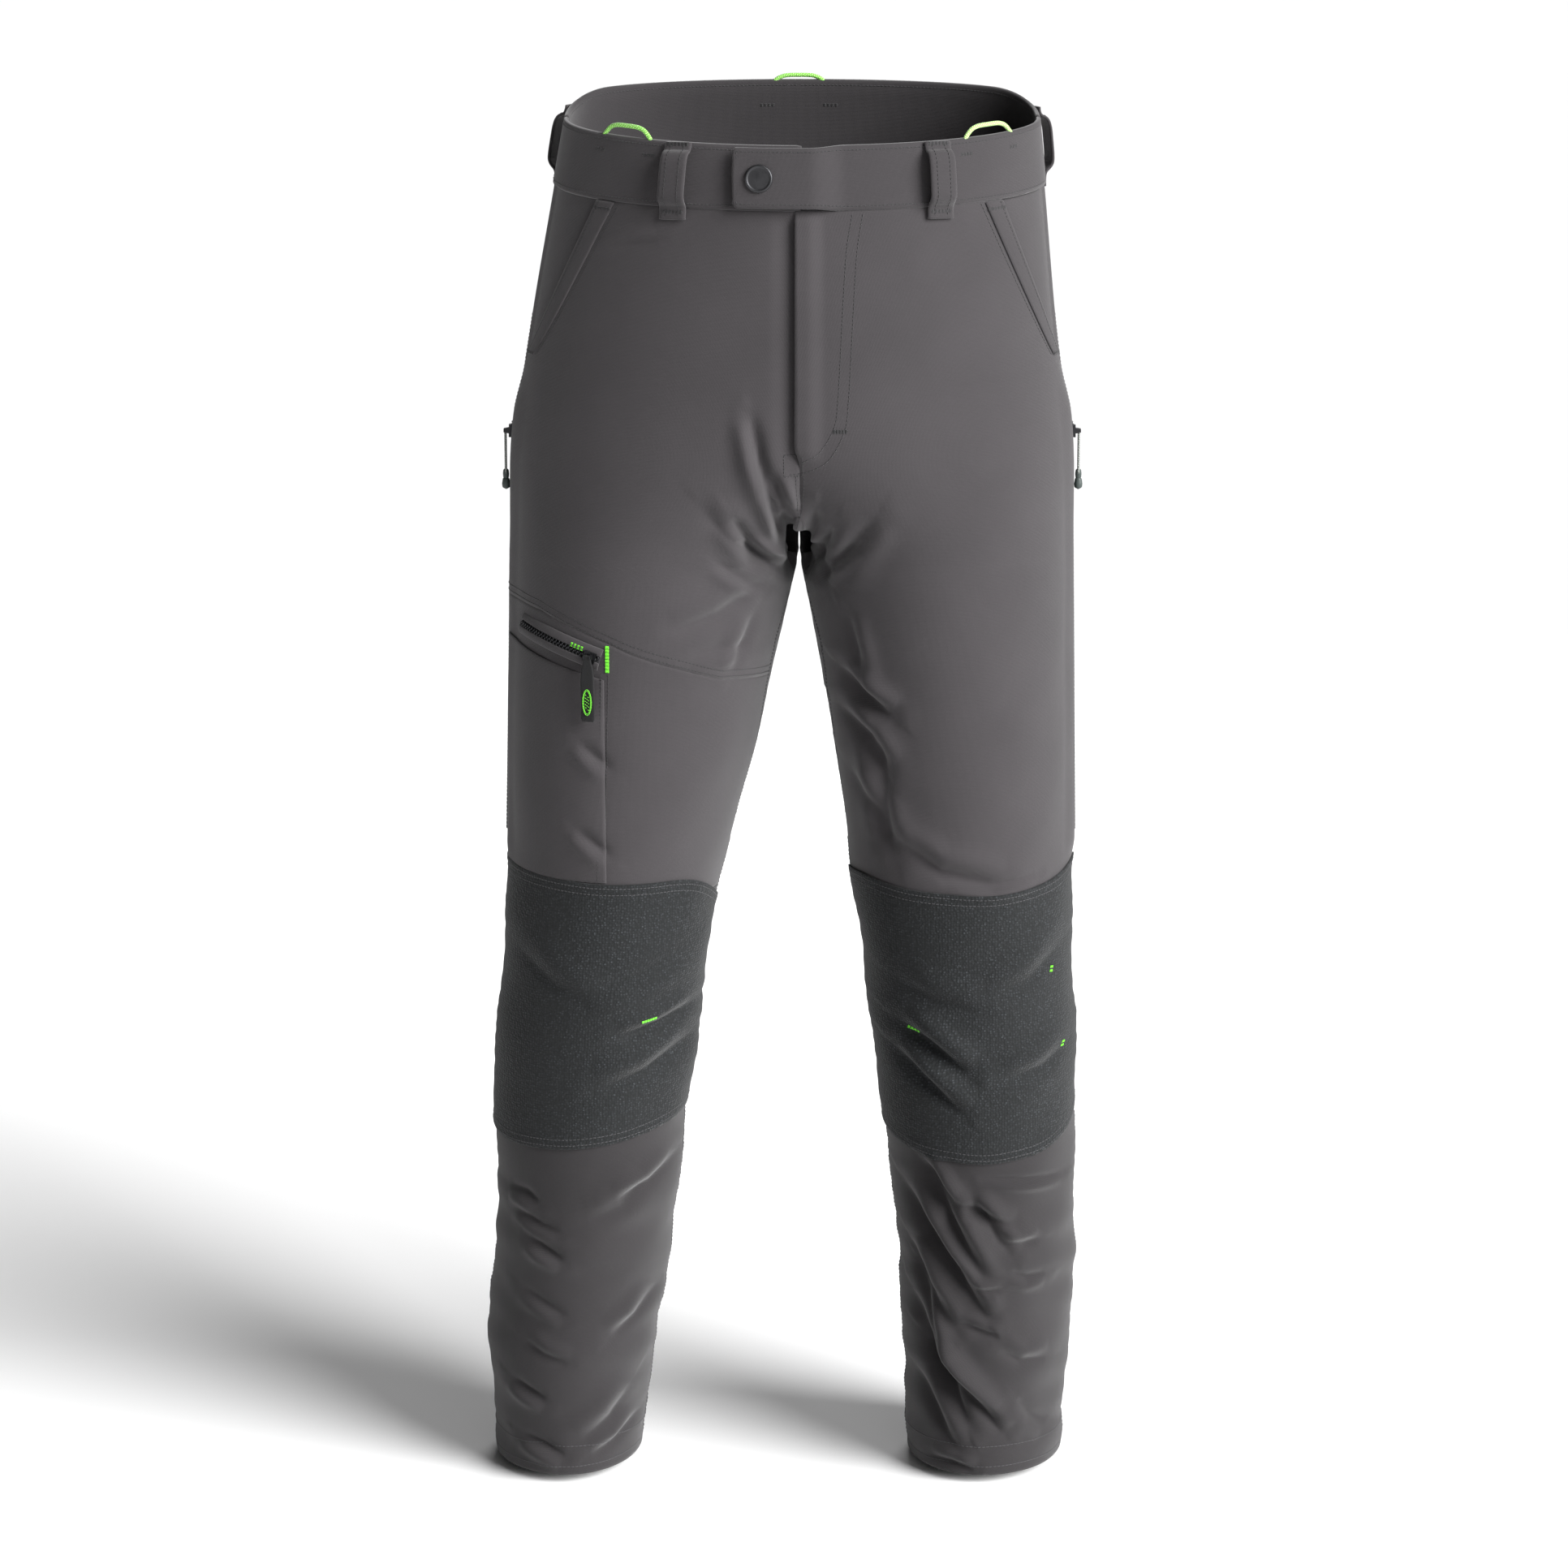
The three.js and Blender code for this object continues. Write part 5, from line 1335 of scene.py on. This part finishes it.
BELT_LOOPS = (
    ("belt_loop_front_R", -1, FRONT, 92),
    ("belt_loop_front_L", 1, FRONT, 103),
    ("belt_loop_side_R", -1, BACK, 179),
    ("belt_loop_side_L", 1, BACK, 183),
    ("belt_loop_back_R", -1, BACK, 92),
    ("belt_loop_back_L", 1, BACK, 92),
    ("belt_loop_back_centre", 1, BACK, 0),
)


def belt_loop(name, side, face, distance):
    turn = float(turn_at(side, face, BAND_SEAM / 2, distance))
    rest = BAND_PROUD + 0.9
    peak = BAND_PROUD + BELT_LOOP_CLEARANCE
    foot = BAND_SEAM - BELT_LOOP_BELOW
    knots = np.array(
        [
            (0.2, rest), (-3, rest + 0.1), (
                -6.5, rest + 1.4
            ), (-9.5, peak - 2.2), (-15, peak - 0.3), (-24, peak),
            (BAND_SEAM + 10, peak - 0.3), (BAND_SEAM + 5, peak - 2.0), (BAND_SEAM + 1, rest + 1.6),
            (BAND_SEAM - 3, rest - 0.2), (foot, rest - BAND_PROUD + 0.3),
        ]
    )
    line = curve_through(np.column_stack([knots, np.zeros(len(knots))]), 6)
    here = body_point(side, face, turn, BAND_SEAM / 2)
    out = outward(side, face, np.float64(turn), np.float64(BAND_SEAM / 2))
    across = body_point(
        side, face, turn + 0.02, BAND_SEAM / 2
    ) - body_point(side, face, turn - 0.02, BAND_SEAM / 2)
    across[2] = 0
    across = unit(across)
    share = np.linspace(-1, 1, 11)
    base = body_point(side, face, turn, line[:, 0]) - here
    slope = unit(np.gradient(np.stack([line[:, 0], line[:, 1]], axis=1), axis=0))
    up = np.array([0.0, 0.0, 1.0])
    thick_dir = unit(slope[:, 1:2] * up - slope[:, 0:1] * out)
    grids = []
    for extra in (BELT_LOOP_THICK, 0.0):
        middle = here + base + out * line[:, 1:2] + thick_dir * extra
        ridge = 0.35 * (1 - np.abs(share) ** 4) * (1 if extra else 0)
        grids.append(
            middle[:, None, :]
            + across * (share[None, :, None] * BELT_LOOP_WIDTH / 2)
            + thick_dir[:, None, :] * ridge[None, :, None]
        )
    obj = sheet_mesh(name, grids[0], grids[1], grid_uv(grids[0]))
    dress(obj, cloth_band, BODY, [name])
    declare_sheet((grids[0] + grids[1]) / 2)
    for shift in (-5.2, 5.2):
        path = here + base + out * line[:, 1:2] + thick_dir * (
            BELT_LOOP_THICK + 0.4
        ) + across * shift
        dark.row(path[3:-2], thick_dir[3:-2])
    for where in (2, len(line) - 6):
        for k in range(5):
            centre = (
                here + base + out * line[:, 1:2] + thick_dir * (BELT_LOOP_THICK + 0.35)
            )[where]
            centre = centre + up * 0.55 * (2 - k)
            path = centre + across * np.linspace(-8.2, 8.2, 8)[:, None]
            dark.row(path, np.tile(thick_dir[where], (8, 1)), pitch=2.4, gap=0.15, radius=0.36)


ELASTIC_LOOPS = (
    ("elastic_loop_front_R", FRONT, -1, 112, 148, elastic_lime),
    ("elastic_loop_front_L", FRONT, 1, 124, 160, elastic_pale),
    ("elastic_loop_back", BACK, 1, -25, 25, elastic_lime),
)


def elastic_loop(name, face, side, near, far, material):
    inside = BAND_PROUD - BAND_THICK / 2
    rise = ELASTIC_RISE + (3.5 if face == BACK else 0.0)

    def at(distance, level):
        own = -side if distance < 0 else side
        turn = float(turn_at(own, face, 0.0, abs(distance)))
        return body_point(own, face, turn, level) + outward(
            own, face, np.float64(turn), np.float64(level)
        ) * inside

    reach = far - near
    knots = [at(near, -ELASTIC_DEPTH), at(near, -6.0)]
    for share in np.linspace(0, 1, 9):
        arch = (rise - 0.5) * (1 - abs(2 * share - 1) ** 4)
        knots.append(at(near + reach * share, arch - 0.6))
    knots += [at(far, -6.0), at(far, -ELASTIC_DEPTH)]
    path = curve_through(knots, 6)
    obj = tube_mesh(name, path, ELASTIC / 2, sides=14)
    dress(obj, material, BODY, [name])
    for distance in (near, far):
        own = -side if distance < 0 else side
        turn = float(turn_at(own, face, 0.0, abs(distance)))
        for k in range(4):
            turns = turn + np.linspace(-0.02, 0.02, 8)
            for offset, flip in ((BAND_PROUD + 0.1, 1), (BAND_PROUD - BAND_THICK - 0.1, -1)):
                path2, outs = on_surface(own, face, turns, np.full(8, -10.0 - 0.55 * k), offset)
                dark.row(path2, outs * flip, pitch=2.4, gap=0.15, radius=0.34)


# ---- Fly ----
def node_points(node):
    return np.array([v.co for v in frame["nodes"][node].data.vertices], float).reshape(-1, 3) / MM


J_STITCH = (
    (47, -52), (43, -80), (40.5, -123), (38, -180), (36.5, -206), (34, -226), (22, -249), (5, -259),
    (-8, -261),
)
J_INNER = (
    (39, -52), (35, -80), (32.5, -123), (30, -180), (28.5, -206), (26, -224), (15, -243), (2, -251)
)


def resample(points, count):
    curve = curve_through(
        np.column_stack([np.array(points, float), np.zeros(len(points))]), 8
    )[:, :2]
    along = np.concatenate([[0], np.cumsum(np.linalg.norm(np.diff(curve, axis=0), axis=1))])
    at = np.linspace(0, along[-1], count)
    return np.stack([np.interp(at, along, curve[:, k]) for k in range(2)], axis=1)


def depth_of(node):
    """Offset of a front layer's outer face from the cloth surface, as in the CAD."""
    points = node_points(node)
    levels = np.clip(points[:, 2], FLY_FOOT, BAND_SEAM)
    offsets = []
    for (x, y, _), level in zip(points, levels):
        side = -1 if x < 0 else 1
        turn = turn_at(side, FRONT, level, abs(x))
        offsets.append(body_point(side, FRONT, turn, level)[1] - y)
    return float(np.percentile(offsets, 75))


def fly():
    for points in (J_STITCH, J_INNER):
        path, outs = front_places(resample(points, 130), 0.06)
        dark.row(path, outs)
    for k in range(5):
        path, outs = front_places([(x, -226 - 0.55 * k) for x in np.linspace(25, 36, 8)], 0.3)
        dark.row(path, outs, pitch=2.2, gap=0.15, radius=0.36)
    box = [(-12, -246), (2, -246), (2, -262), (-12, -262), (-12, -246)]
    dense = np.concatenate([np.linspace(box[k], box[k + 1], 10) for k in range(4)])
    path, outs = front_places(dense, 0.15)
    dark.row(path, outs, pitch=2.4)
    path, outs = front_places([(-3.0, z) for z in np.linspace(-262, -300, 20)], 0.06)
    dark.row(path, outs)
    path, outs = front_places([(3.0, z) for z in np.linspace(-262, -300, 20)], 0.06)
    dark.row(path, outs)
    path, outs = front_places([(x, -62.0) for x in np.linspace(-5.5, -1.2, 6)], -1.0)
    lime.row(path, outs, pitch=2.0, gap=0.1, radius=0.45)
    levels = np.linspace(BAND_SEAM, FLY_FOOT, 70)[:, None]

    def layer(name, xs, outer, material):
        grids = []
        for offset in (outer, outer - THIN):
            points = []
            for x in xs:
                side = -1 if x < 0 else 1
                turn = turn_at(side, FRONT, levels[:, 0], abs(x))
                points.append(place(side, FRONT, turn, levels[:, 0], offset, 0.0))
            grids.append(np.stack(points, axis=1))
        obj = sheet_mesh(name, grids[0], grids[1], grid_uv(grids[0]))
        dress(obj, material, BODY, [name])
        declare_sheet(
            (grids[0] + grids[1]) / 2
        )

    layer("fly_facing", np.linspace(FLY_WIDTH, 0.6, 18), depth_of("fly_facing"), cloth_shell)
    layer(
        "fly_shield", np.linspace(-FLY_WIDTH, FLY_ZIP_X + 6, 24), depth_of("fly_shield"),
        cloth_shell,
    )


# ---- Zips and metal ----
def straight_frame(node):
    """Foot, direction, length and outward direction of a straight zip, from its CAD mesh."""
    points = np.array([v.co for v in frame["nodes"][node].data.vertices], float).reshape(-1, 3) / MM
    centre = points.mean(0)
    _, _, axes = np.linalg.svd(points - centre, full_matrices=False)
    along = axes[0] * np.sign(axes[0][2])
    reach = (points - centre) @ along
    return centre, along, reach.min(), reach.max(), points


def zip_strip(name, node, out, tape):
    """A straight zip: a woven tape with two rows of moulded teeth along its middle."""
    centre, along, low, high, points = straight_frame(node)
    across = unit(np.cross(along, out))
    out = unit(np.cross(across, along))
    across_mid = ((points @ across).min() + (points @ across).max()) / 2
    back = (points @ out).min()
    origin = along * (centre @ along) + across * across_mid + out * back
    rows = np.linspace(low, high, max(6, int((high - low) / 4)))
    cols = np.linspace(-tape / 2, tape / 2, 9)
    base = origin + rows[:, None, None] * along + cols[None, :, None] * across
    beat = 0.12 * np.sin(rows / 1.7)[:, None, None] * (
        np.abs(cols)[None, :, None] / (tape / 2)
    ) ** 2
    outer, inner = base + out * (TAPE_THICK + beat), base
    obj = sheet_mesh(name, outer[::-1], inner[::-1], grid_uv(outer[::-1]))
    dress(obj, cloth_tape, BODY, [node])
    tooth_points, tooth_quads = [], []
    pitch = 1.6
    for k, at in enumerate(np.arange(low + 2, high - 2, pitch)):
        sign = 1 if k % 2 else -1
        mid = origin + along * at
        half = pitch * 0.42
        x0, x1 = -0.5 * sign, 2.4 * sign
        z0, z1 = TAPE_THICK, TAPE_THICK + CHAIN_HEIGHT * 0.85
        profile = [(x0, z0), (x1, z0), (x1 * 0.86, z1), (x0, z1 * 0.97)]
        base_index = len(tooth_points)
        for end, shrink in ((-half, 0.8), (-half * 0.55, 1.0), (half * 0.55, 1.0), (half, 0.8)):
            for x, z in profile:
                zz = z0 + (z - z0) * shrink
                tooth_points.append(mid + along * end + across * x + out * zz)
        for ring in range(3):
            for j in range(4):
                a = base_index + ring * 4 + j
                b = base_index + ring * 4 + (j + 1) % 4
                tooth_quads.append((a, b, b + 4, a + 4))
        tooth_quads.append((base_index + 3, base_index + 2, base_index + 1, base_index))
        tooth_quads.append((base_index + 12, base_index + 13, base_index + 14, base_index + 15))
    pts = np.array(tooth_points)
    teeth = mesh_object(name + "_teeth", pts, np.array(tooth_quads), pts[:, [0, 2]])
    dress(teeth, metal_dark)
    return origin, along, across, out


def side_zip(side, tag):
    zip_strip("side_zip_" + tag, "side_zip_" + tag, np.array([side, 0.0, 0.0]), 14.0)


def polish(node, material, bevel=0.25):
    """Keeps a CAD node with a finish of its own and rounded edges."""
    obj = frame["nodes"][node]
    obj.data.materials.clear()
    obj.data.materials.append(material)
    edges = obj.modifiers.new("edges", "BEVEL")
    edges.width = bevel * MM
    edges.segments = 2
    edges.limit_method = "ANGLE"
    edges.angle_limit = math.radians(35)


def side_pull(tag):
    """A cord through the slider's eye with a moulded knob."""
    points = node_points("side_zip_pull_" + tag)
    low, high = points.min(0), points.max(0)
    x = (low[0] + high[0]) / 2
    top, foot = high[2] - 1.6, low[2]
    y0 = (low[1] + high[1]) / 2
    loop = [
        (
            x, y0 - 1.1, foot + 12
        ), (x, y0 - 1.2, foot + 22), (x, y0 - 1.3, top - 10), (x, y0 - 1.0, top - 3),
        (x, y0, top), (x, y0 + 1.0, top - 3), (x, y0 + 1.3, top - 10), (
            x, y0 + 1.2, foot + 22
        ), (x, y0 + 1.1, foot + 12),
    ]
    line = tube_mesh("side_zip_pull_" + tag, curve_through(loop, 6), 0.95, sides=8)
    dress(line, pull_line, "side_pull_" + tag, ["side_zip_pull_" + tag])
    heights = np.array([15.5, 14.5, 12.0, 9.5, 8.6, 7.6, 4.0, 1.4, 0.4])
    radii = np.array([1.6, 2.2, 2.5, 2.3, 2.0, 2.7, 3.3, 3.0, 1.8])
    path = np.stack([np.full(9, x), np.full(9, y0), foot + heights], axis=1)
    path, fine = curve_through(path, 4), np.interp(np.linspace(0, 8, 33), np.arange(9), radii)
    knob = tube_mesh("side_zip_knob_" + tag, path, fine, sides=18, flatten=0.8, out=(0, 1, 0))
    dress(knob, pull_rubber, "side_pull_" + tag)


def thigh_zip():
    """The curved zip: tape and teeth bent round the thigh on the CAD's own circle."""
    joint = next(j for j in frame["joints"] if j["name"] == "thigh_zip_slide")
    centre = np.array(joint["pos_m"], float) / MM
    axis = unit(np.array(joint["axis"], float))
    points = node_points("thigh_zip")
    away = points - centre
    flat = away - np.outer(away @ axis, axis)
    radius = np.linalg.norm(flat, axis=1)
    first = unit(flat[radius.argmax()])
    second = np.cross(axis, first)
    angles = np.arctan2(flat @ second, flat @ first)
    low, high = angles.min(), angles.max()
    inner_radius = radius.min()
    mid = ((away @ axis).min() + (away @ axis).max()) / 2
    tape = (away @ axis).max() - (away @ axis).min()

    def spot(angle, height, shift):
        angle, height, shift = np.broadcast_arrays(
            *(np.asarray(v, float) for v in (angle, height, shift))
        )
        spoke = np.cos(angle)[..., None] * first + np.sin(angle)[..., None] * second
        return centre + spoke * (inner_radius + height)[..., None] + axis * (mid + shift)[..., None]

    turns = np.linspace(low, high, 60)[:, None]
    cols = np.linspace(-tape / 2, tape / 2, 9)[None, :]
    outer, inner = spot(turns, TAPE_THICK, cols), spot(turns, 0.0, cols)
    obj = sheet_mesh("thigh_zip", outer, inner, grid_uv(outer))
    dress(obj, cloth_tape, BODY, ["thigh_zip"])
    pts, quads = [], []
    step = 1.6 / inner_radius
    for k, angle in enumerate(np.arange(low + step, high - step, step)):
        sign = 1 if k % 2 else -1
        base_index = len(pts)
        for end, shrink in ((-0.42, 0.8), (-0.24, 1.0), (0.24, 1.0), (0.42, 0.8)):
            for x, z in ((-0.5, 0.0), (2.4, 0.0), (2.1, 1.0), (-0.5, 0.97)):
                height = TAPE_THICK + z * CHAIN_HEIGHT * 0.85 * shrink
                pts.append(spot(angle + end * step, height, x * sign))
        for ring in range(3):
            for j in range(4):
                a = base_index + ring * 4 + j
                b = base_index + ring * 4 + (j + 1) % 4
                quads.append((a, b, b + 4, a + 4))
        quads.append((base_index + 3, base_index + 2, base_index + 1, base_index))
        quads.append((base_index + 12, base_index + 13, base_index + 14, base_index + 15))
    pts = np.array(pts)
    dress(
        mesh_object("thigh_zip_teeth", pts, np.array(quads), pts[:, [0, 2]]), metal_dark,
    )
    run = np.linspace(low, high, 80)[:, None]
    cover = np.linspace(0, 1, 8)[None, :]
    for name, way in (("thigh_zip_lip_upper", 1), ("thigh_zip_lip_lower", -1)):
        shifts = way * (2.7 + (tape / 2 - 0.4) * cover)
        heights = TAPE_THICK + 1.5 * np.sqrt(1 - (0.9 * cover - 0.1) ** 2) - 1.3 * cover**2
        outer = spot(run, heights, shifts)
        inner = spot(run, heights - THIN, shifts)
        lip = sheet_mesh(name, outer, inner, grid_uv(outer))
        dress(lip, cloth_shell)
        declare_sheet((outer + inner) / 2)
    at_front = low if spot(low, 0, 0)[0] > spot(high, 0, 0)[0] else high
    inwards = np.sign((low + high) / 2 - at_front)
    for k in range(5):
        ends = at_front + inwards * np.linspace(15.0, 27.0, 8) / inner_radius
        path = spot(ends, TAPE_THICK + 1.1, 2.4 + 0.6 * k)
        lime.row(path, unit(path - centre), pitch=3.0, gap=0.1, radius=0.45)
    s = np.linspace(0.02, 0.96, 60)
    for shift in (-tape / 2 + 1.0, tape / 2 - 1.0):
        path = spot(low + (high - low) * s, TAPE_THICK + 0.1, shift)
        outs = unit(path - centre)
        dark.row(path, outs)


def thigh_pull():
    """A ribbon through the slider's eye with a plain oval mark."""
    points = node_points("thigh_zip_pull")
    low = points.min(0)
    joint = next(j for j in frame["joints"] if j["name"] == "thigh_pull_swing")
    pin = np.array(joint["pos_m"], float) / MM
    across = unit(np.array(joint["axis"], float))
    if across[0] < 0:
        across = -across
    out = unit(np.cross(across, np.array([0.0, 0.0, 1.0])))
    if out[1] > 0:
        out = -out
    down = np.array([0.0, 0.0, -1.0])
    length = pin[2] - low[2]
    heights = np.linspace(-1.0, length, 40)
    wide = np.interp(heights, (-1, 4, 10, 18, length - 2, length), (2.4, 3.0, 4.6, 5.2, 5.2, 4.6))
    share = np.linspace(-1, 1, 9)
    slack = 0.9 * np.sin(heights / 9.0) * smooth(4, 20, heights)
    base = pin + down * heights[:, None, None] + across * (
        share[None, :, None] * wide[:, None, None]
    )
    outer = base + out * (1.0 + slack[:, None, None] * 0.5)
    inner = base + out * (-0.4 + slack[:, None, None] * 0.5)
    ribbon = sheet_mesh("thigh_zip_pull", outer, inner, grid_uv(outer))
    dress(ribbon, ribbon_black, "thigh_pull", ["thigh_zip_pull"])
    marks = Stitches()
    angle = np.linspace(0, math.tau, 49)
    middle = pin + down * (length - 15) + out * 1.35
    for a, b in ((3.6, 10.0), (2.9, 9.0)):
        path = middle + across * (a * np.cos(angle))[:, None] + down * (b * np.sin(angle))[:, None]
        marks.row(path, np.tile(out, (49, 1)), pitch=1.3, gap=0.1, radius=0.3)
    for k in range(5):
        z = -5.0 + 2.5 * k
        half = 2.0 - 0.25 * abs(k - 2)
        path = middle + down * z + across * np.linspace(
            -half, half, 6
        )[:, None] + down * np.linspace(-1.2, 1.2, 6)[:, None]
        marks.row(path, np.tile(out, (6, 1)), pitch=1.3, gap=0.1, radius=0.26)
    marks.build("thigh_pull_mark", thread_lime, "thigh_pull")


def lathe(name, origin, out, profile, segments=48):
    side = unit(np.cross(out, np.array([0.0, 0.0, 1.0])))
    up = np.cross(side, out)
    angle = np.linspace(0, math.tau, segments, endpoint=False)
    profile = np.array(profile, float)
    ring = np.cos(angle)[:, None] * side + np.sin(angle)[:, None] * up
    points = origin + profile[:, 0][
        :, None, None
    ] * ring[None, :, :] + profile[:, 1][:, None, None] * out
    index = np.arange(len(profile) * segments).reshape(len(profile), segments)
    nxt = np.roll(index, -1, axis=1)
    quads = np.stack([index[:-1], index[1:], nxt[1:], nxt[:-1]], axis=-1).reshape(-1, 4)
    return mesh_object(name, points.reshape(-1, 3), quads, points.reshape(-1, 3)[:, [0, 2]])


def snap():
    turn = float(turn_at(-1, FRONT, BAND_SEAM / 2, -SNAP_X))
    out = outward(-1, FRONT, np.float64(turn), np.float64(BAND_SEAM / 2))
    origin = body_point(-1, FRONT, turn, BAND_SEAM / 2)
    face = BAND_PROUD + TAB_STAND + TAB_THICK + 0.4
    cap = [
        (0.01, face - 0.2), (
            SNAP_RADIUS - 0.3, face - 0.2
        ), (SNAP_RADIUS, face + 0.3), (SNAP_RADIUS, face + 1.3),
        (
            SNAP_RADIUS - 0.35, face + 1.9
        ), (SNAP_RADIUS - 1.1, face + 2.2), (SNAP_RADIUS - 1.8, face + 2.1),
        (
            SNAP_RADIUS - 2.2, face + 1.75
        ), (SNAP_RADIUS - 2.9, face + 1.72), (SNAP_RADIUS - 5.5, face + 1.85),
        (0.01, face + 1.95),
    ]
    dress(lathe("snap_cap", origin, out, cap), metal_snap, "tab", ["snap_cap"])
    top = BAND_PROUD + TAB_STAND - 0.6
    socket = [
        (0.01, top), (6.0, top), (6.0, top - 1.0), (5.2, top - 1.5), (2.9, top - 1.5),
        (2.7, top - 0.4), (0.01, top - 0.4),
    ]
    dress(lathe("snap_socket", origin, out, socket), metal_snap, "tab")
    foot = BAND_PROUD + 0.3
    stud = [
        (0.01, foot), (6.0, foot), (
            6.0, foot + 0.5
        ), (4.6, foot + 1.0), (2.4, foot + 1.1), (2.1, foot + 1.6),
        (2.3, foot + 2.2), (1.8, foot + 2.7), (0.01, foot + 2.8),
    ]
    dress(lathe("snap_stud", origin, out, stud), metal_snap, BODY, ["snap_stud"])


def accents():
    """Bar tacks and the seam stitching of the legs."""
    s = np.linspace(0.0, 1.0, 200)
    levels = thigh_seam(s)
    for shift in (2.6, 7.4):
        path, outs = on_surface(-1, FRONT, s * inseam_edge(levels), levels + shift, 0.06)
        dark.row(path, outs)
    tacks = (
        (-120, -694, 11, 12), (88, -706, 9, -22), (199, -659, 5, 78), (207, -722, 5, 82),
    )
    for x, z, length, tilt in tacks:
        direction = np.array([math.cos(math.radians(tilt)), math.sin(math.radians(tilt))])
        normal = np.array([-direction[1], direction[0]])
        for k in range(4):
            start = np.array([x, z]) - direction * length / 2 + normal * 0.6 * (k - 1.5)
            line = [start + direction * length * t for t in np.linspace(0, 1, 8)]
            path, outs = front_places(line, 1.95)
            lime.row(path, outs, pitch=2.2, gap=0.1, radius=0.42)
    for side, _ in SIDES:
        levels = np.linspace(-150, SIDE_ZIP_TOP + 6, 60)
        path, outs = on_surface(side, BACK, np.full(60, 0.014), levels, 0.06)
        dark.row(path, outs)
        levels = np.linspace(SIDE_ZIP_BOTTOM - 6, HEM + 8, 220)
        for face, turn in ((BACK, 0.016), (FRONT, 0.985), (BACK, 0.985)):
            path, outs = on_surface(side, face, np.full(220, turn), levels, 0.06)
            grey.row(path, outs, pitch=3.4)
        levels = np.linspace(BAND_SEAM - 4, CROTCH + 4, 130)
        path, outs = on_surface(side, BACK, np.full(130, 0.988), levels, 0.06)
        dark.row(path, outs)


WORLD_LIGHT = 0.06


def camera_and_lights():
    camera_data = bpy.data.cameras.new("camera")
    camera = bpy.data.objects.new("camera", camera_data)
    bpy.context.scene.collection.objects.link(camera)
    camera_data.lens = 100.5
    camera_data.sensor_width = 36
    camera_data.clip_end = 100
    camera.location = (-0.012, -3.4, 0.209)
    camera.rotation_euler = (math.radians(90 - 12.17), 0, 0)
    bpy.context.scene.camera = camera

    def area(name, location, target, size, power, colour=(1, 1, 1)):
        data = bpy.data.lights.new(name, "AREA")
        data.shape = "SQUARE"
        data.size = size
        data.energy = power
        data.color = colour
        lamp = bpy.data.objects.new(name, data)
        bpy.context.scene.collection.objects.link(lamp)
        lamp.location = location
        direction = Vector(target) - Vector(location)
        lamp.rotation_euler = direction.to_track_quat("-Z", "Y").to_euler()

    sun_data = bpy.data.lights.new("key", "SUN")
    sun_data.energy = 7.5
    sun_data.angle = math.radians(40)
    sun = bpy.data.objects.new("key", sun_data)
    bpy.context.scene.collection.objects.link(sun)
    sun.rotation_euler = Vector((-2.2, 1.6, -1.35)).to_track_quat("-Z", "Y").to_euler()
    area("front", (0.9, -3.2, 0.3), (0, 0, -0.4), 1.2, 8)
    area("rear", (0.5, 2.9, 1.0), (0, 0, -0.5), 1.6, 45)
    world = bpy.data.worlds.new("studio")
    bpy.context.scene.world = world
    world.use_nodes = True
    background = world.node_tree.nodes["Background"]
    background.inputs["Color"].default_value = (1, 1, 1, 1)
    seen = world.node_tree.nodes.new("ShaderNodeLightPath")
    level = world.node_tree.nodes.new("ShaderNodeMath")
    level.operation = "MULTIPLY_ADD"
    level.inputs[1].default_value = 1.0 - WORLD_LIGHT
    level.inputs[2].default_value = WORLD_LIGHT
    world.node_tree.links.new(seen.outputs["Is Camera Ray"], level.inputs[0])
    world.node_tree.links.new(level.outputs[0], background.inputs["Strength"])
    bpy.context.scene.view_settings.view_transform = "Standard"


def studio_floor():
    size, steps = 300.0, 2
    bpy.ops.mesh.primitive_grid_add(x_subdivisions=steps, y_subdivisions=steps, size=size)
    floor = bpy.context.object
    floor.name = "floor"
    floor.location = (0, 0, (HEM - 8) * MM)
    n = Nodes("floor_paper")
    n.set(Base_Color=(0.93, 0.93, 0.93, 1), Roughness=0.95, Specular_IOR_Level=0.1)
    floor.data.materials.append(n.material)


camera_and_lights()
studio_floor()
for side, tag in SIDES:
    shell_panels(side, tag)
    gusset(side, tag)
    knee_patch(side, tag)
    inner_layers(side, tag)
    hem_band(side, tag)
    hand_pocket(side, tag)
    back_pocket_welt(side, tag)
    side_zip(side, tag)
    side_pull(tag)
    polish("side_zip_slider_" + tag, metal_dark)
thigh_pocket()
thigh_zip()
thigh_pull()
polish("thigh_zip_slider", metal_dark)
waistband_back()
waistband_front_right()
waistband_front_left()
for loop in BELT_LOOPS:
    belt_loop(*loop)
for loop in ELASTIC_LOOPS:
    elastic_loop(*loop)
fly()
zip_strip("fly_zip", "fly_zip", np.array([0.0, -1.0, 0.0]), 26.0)
polish("fly_zip_slider", metal_dark)
snap()
accents()
dark.build("stitching_dark", thread_dark_seam_shade)
grey.build("stitching_grey", thread_grey)
lime.build("bar_tacks_lime", thread_lime)
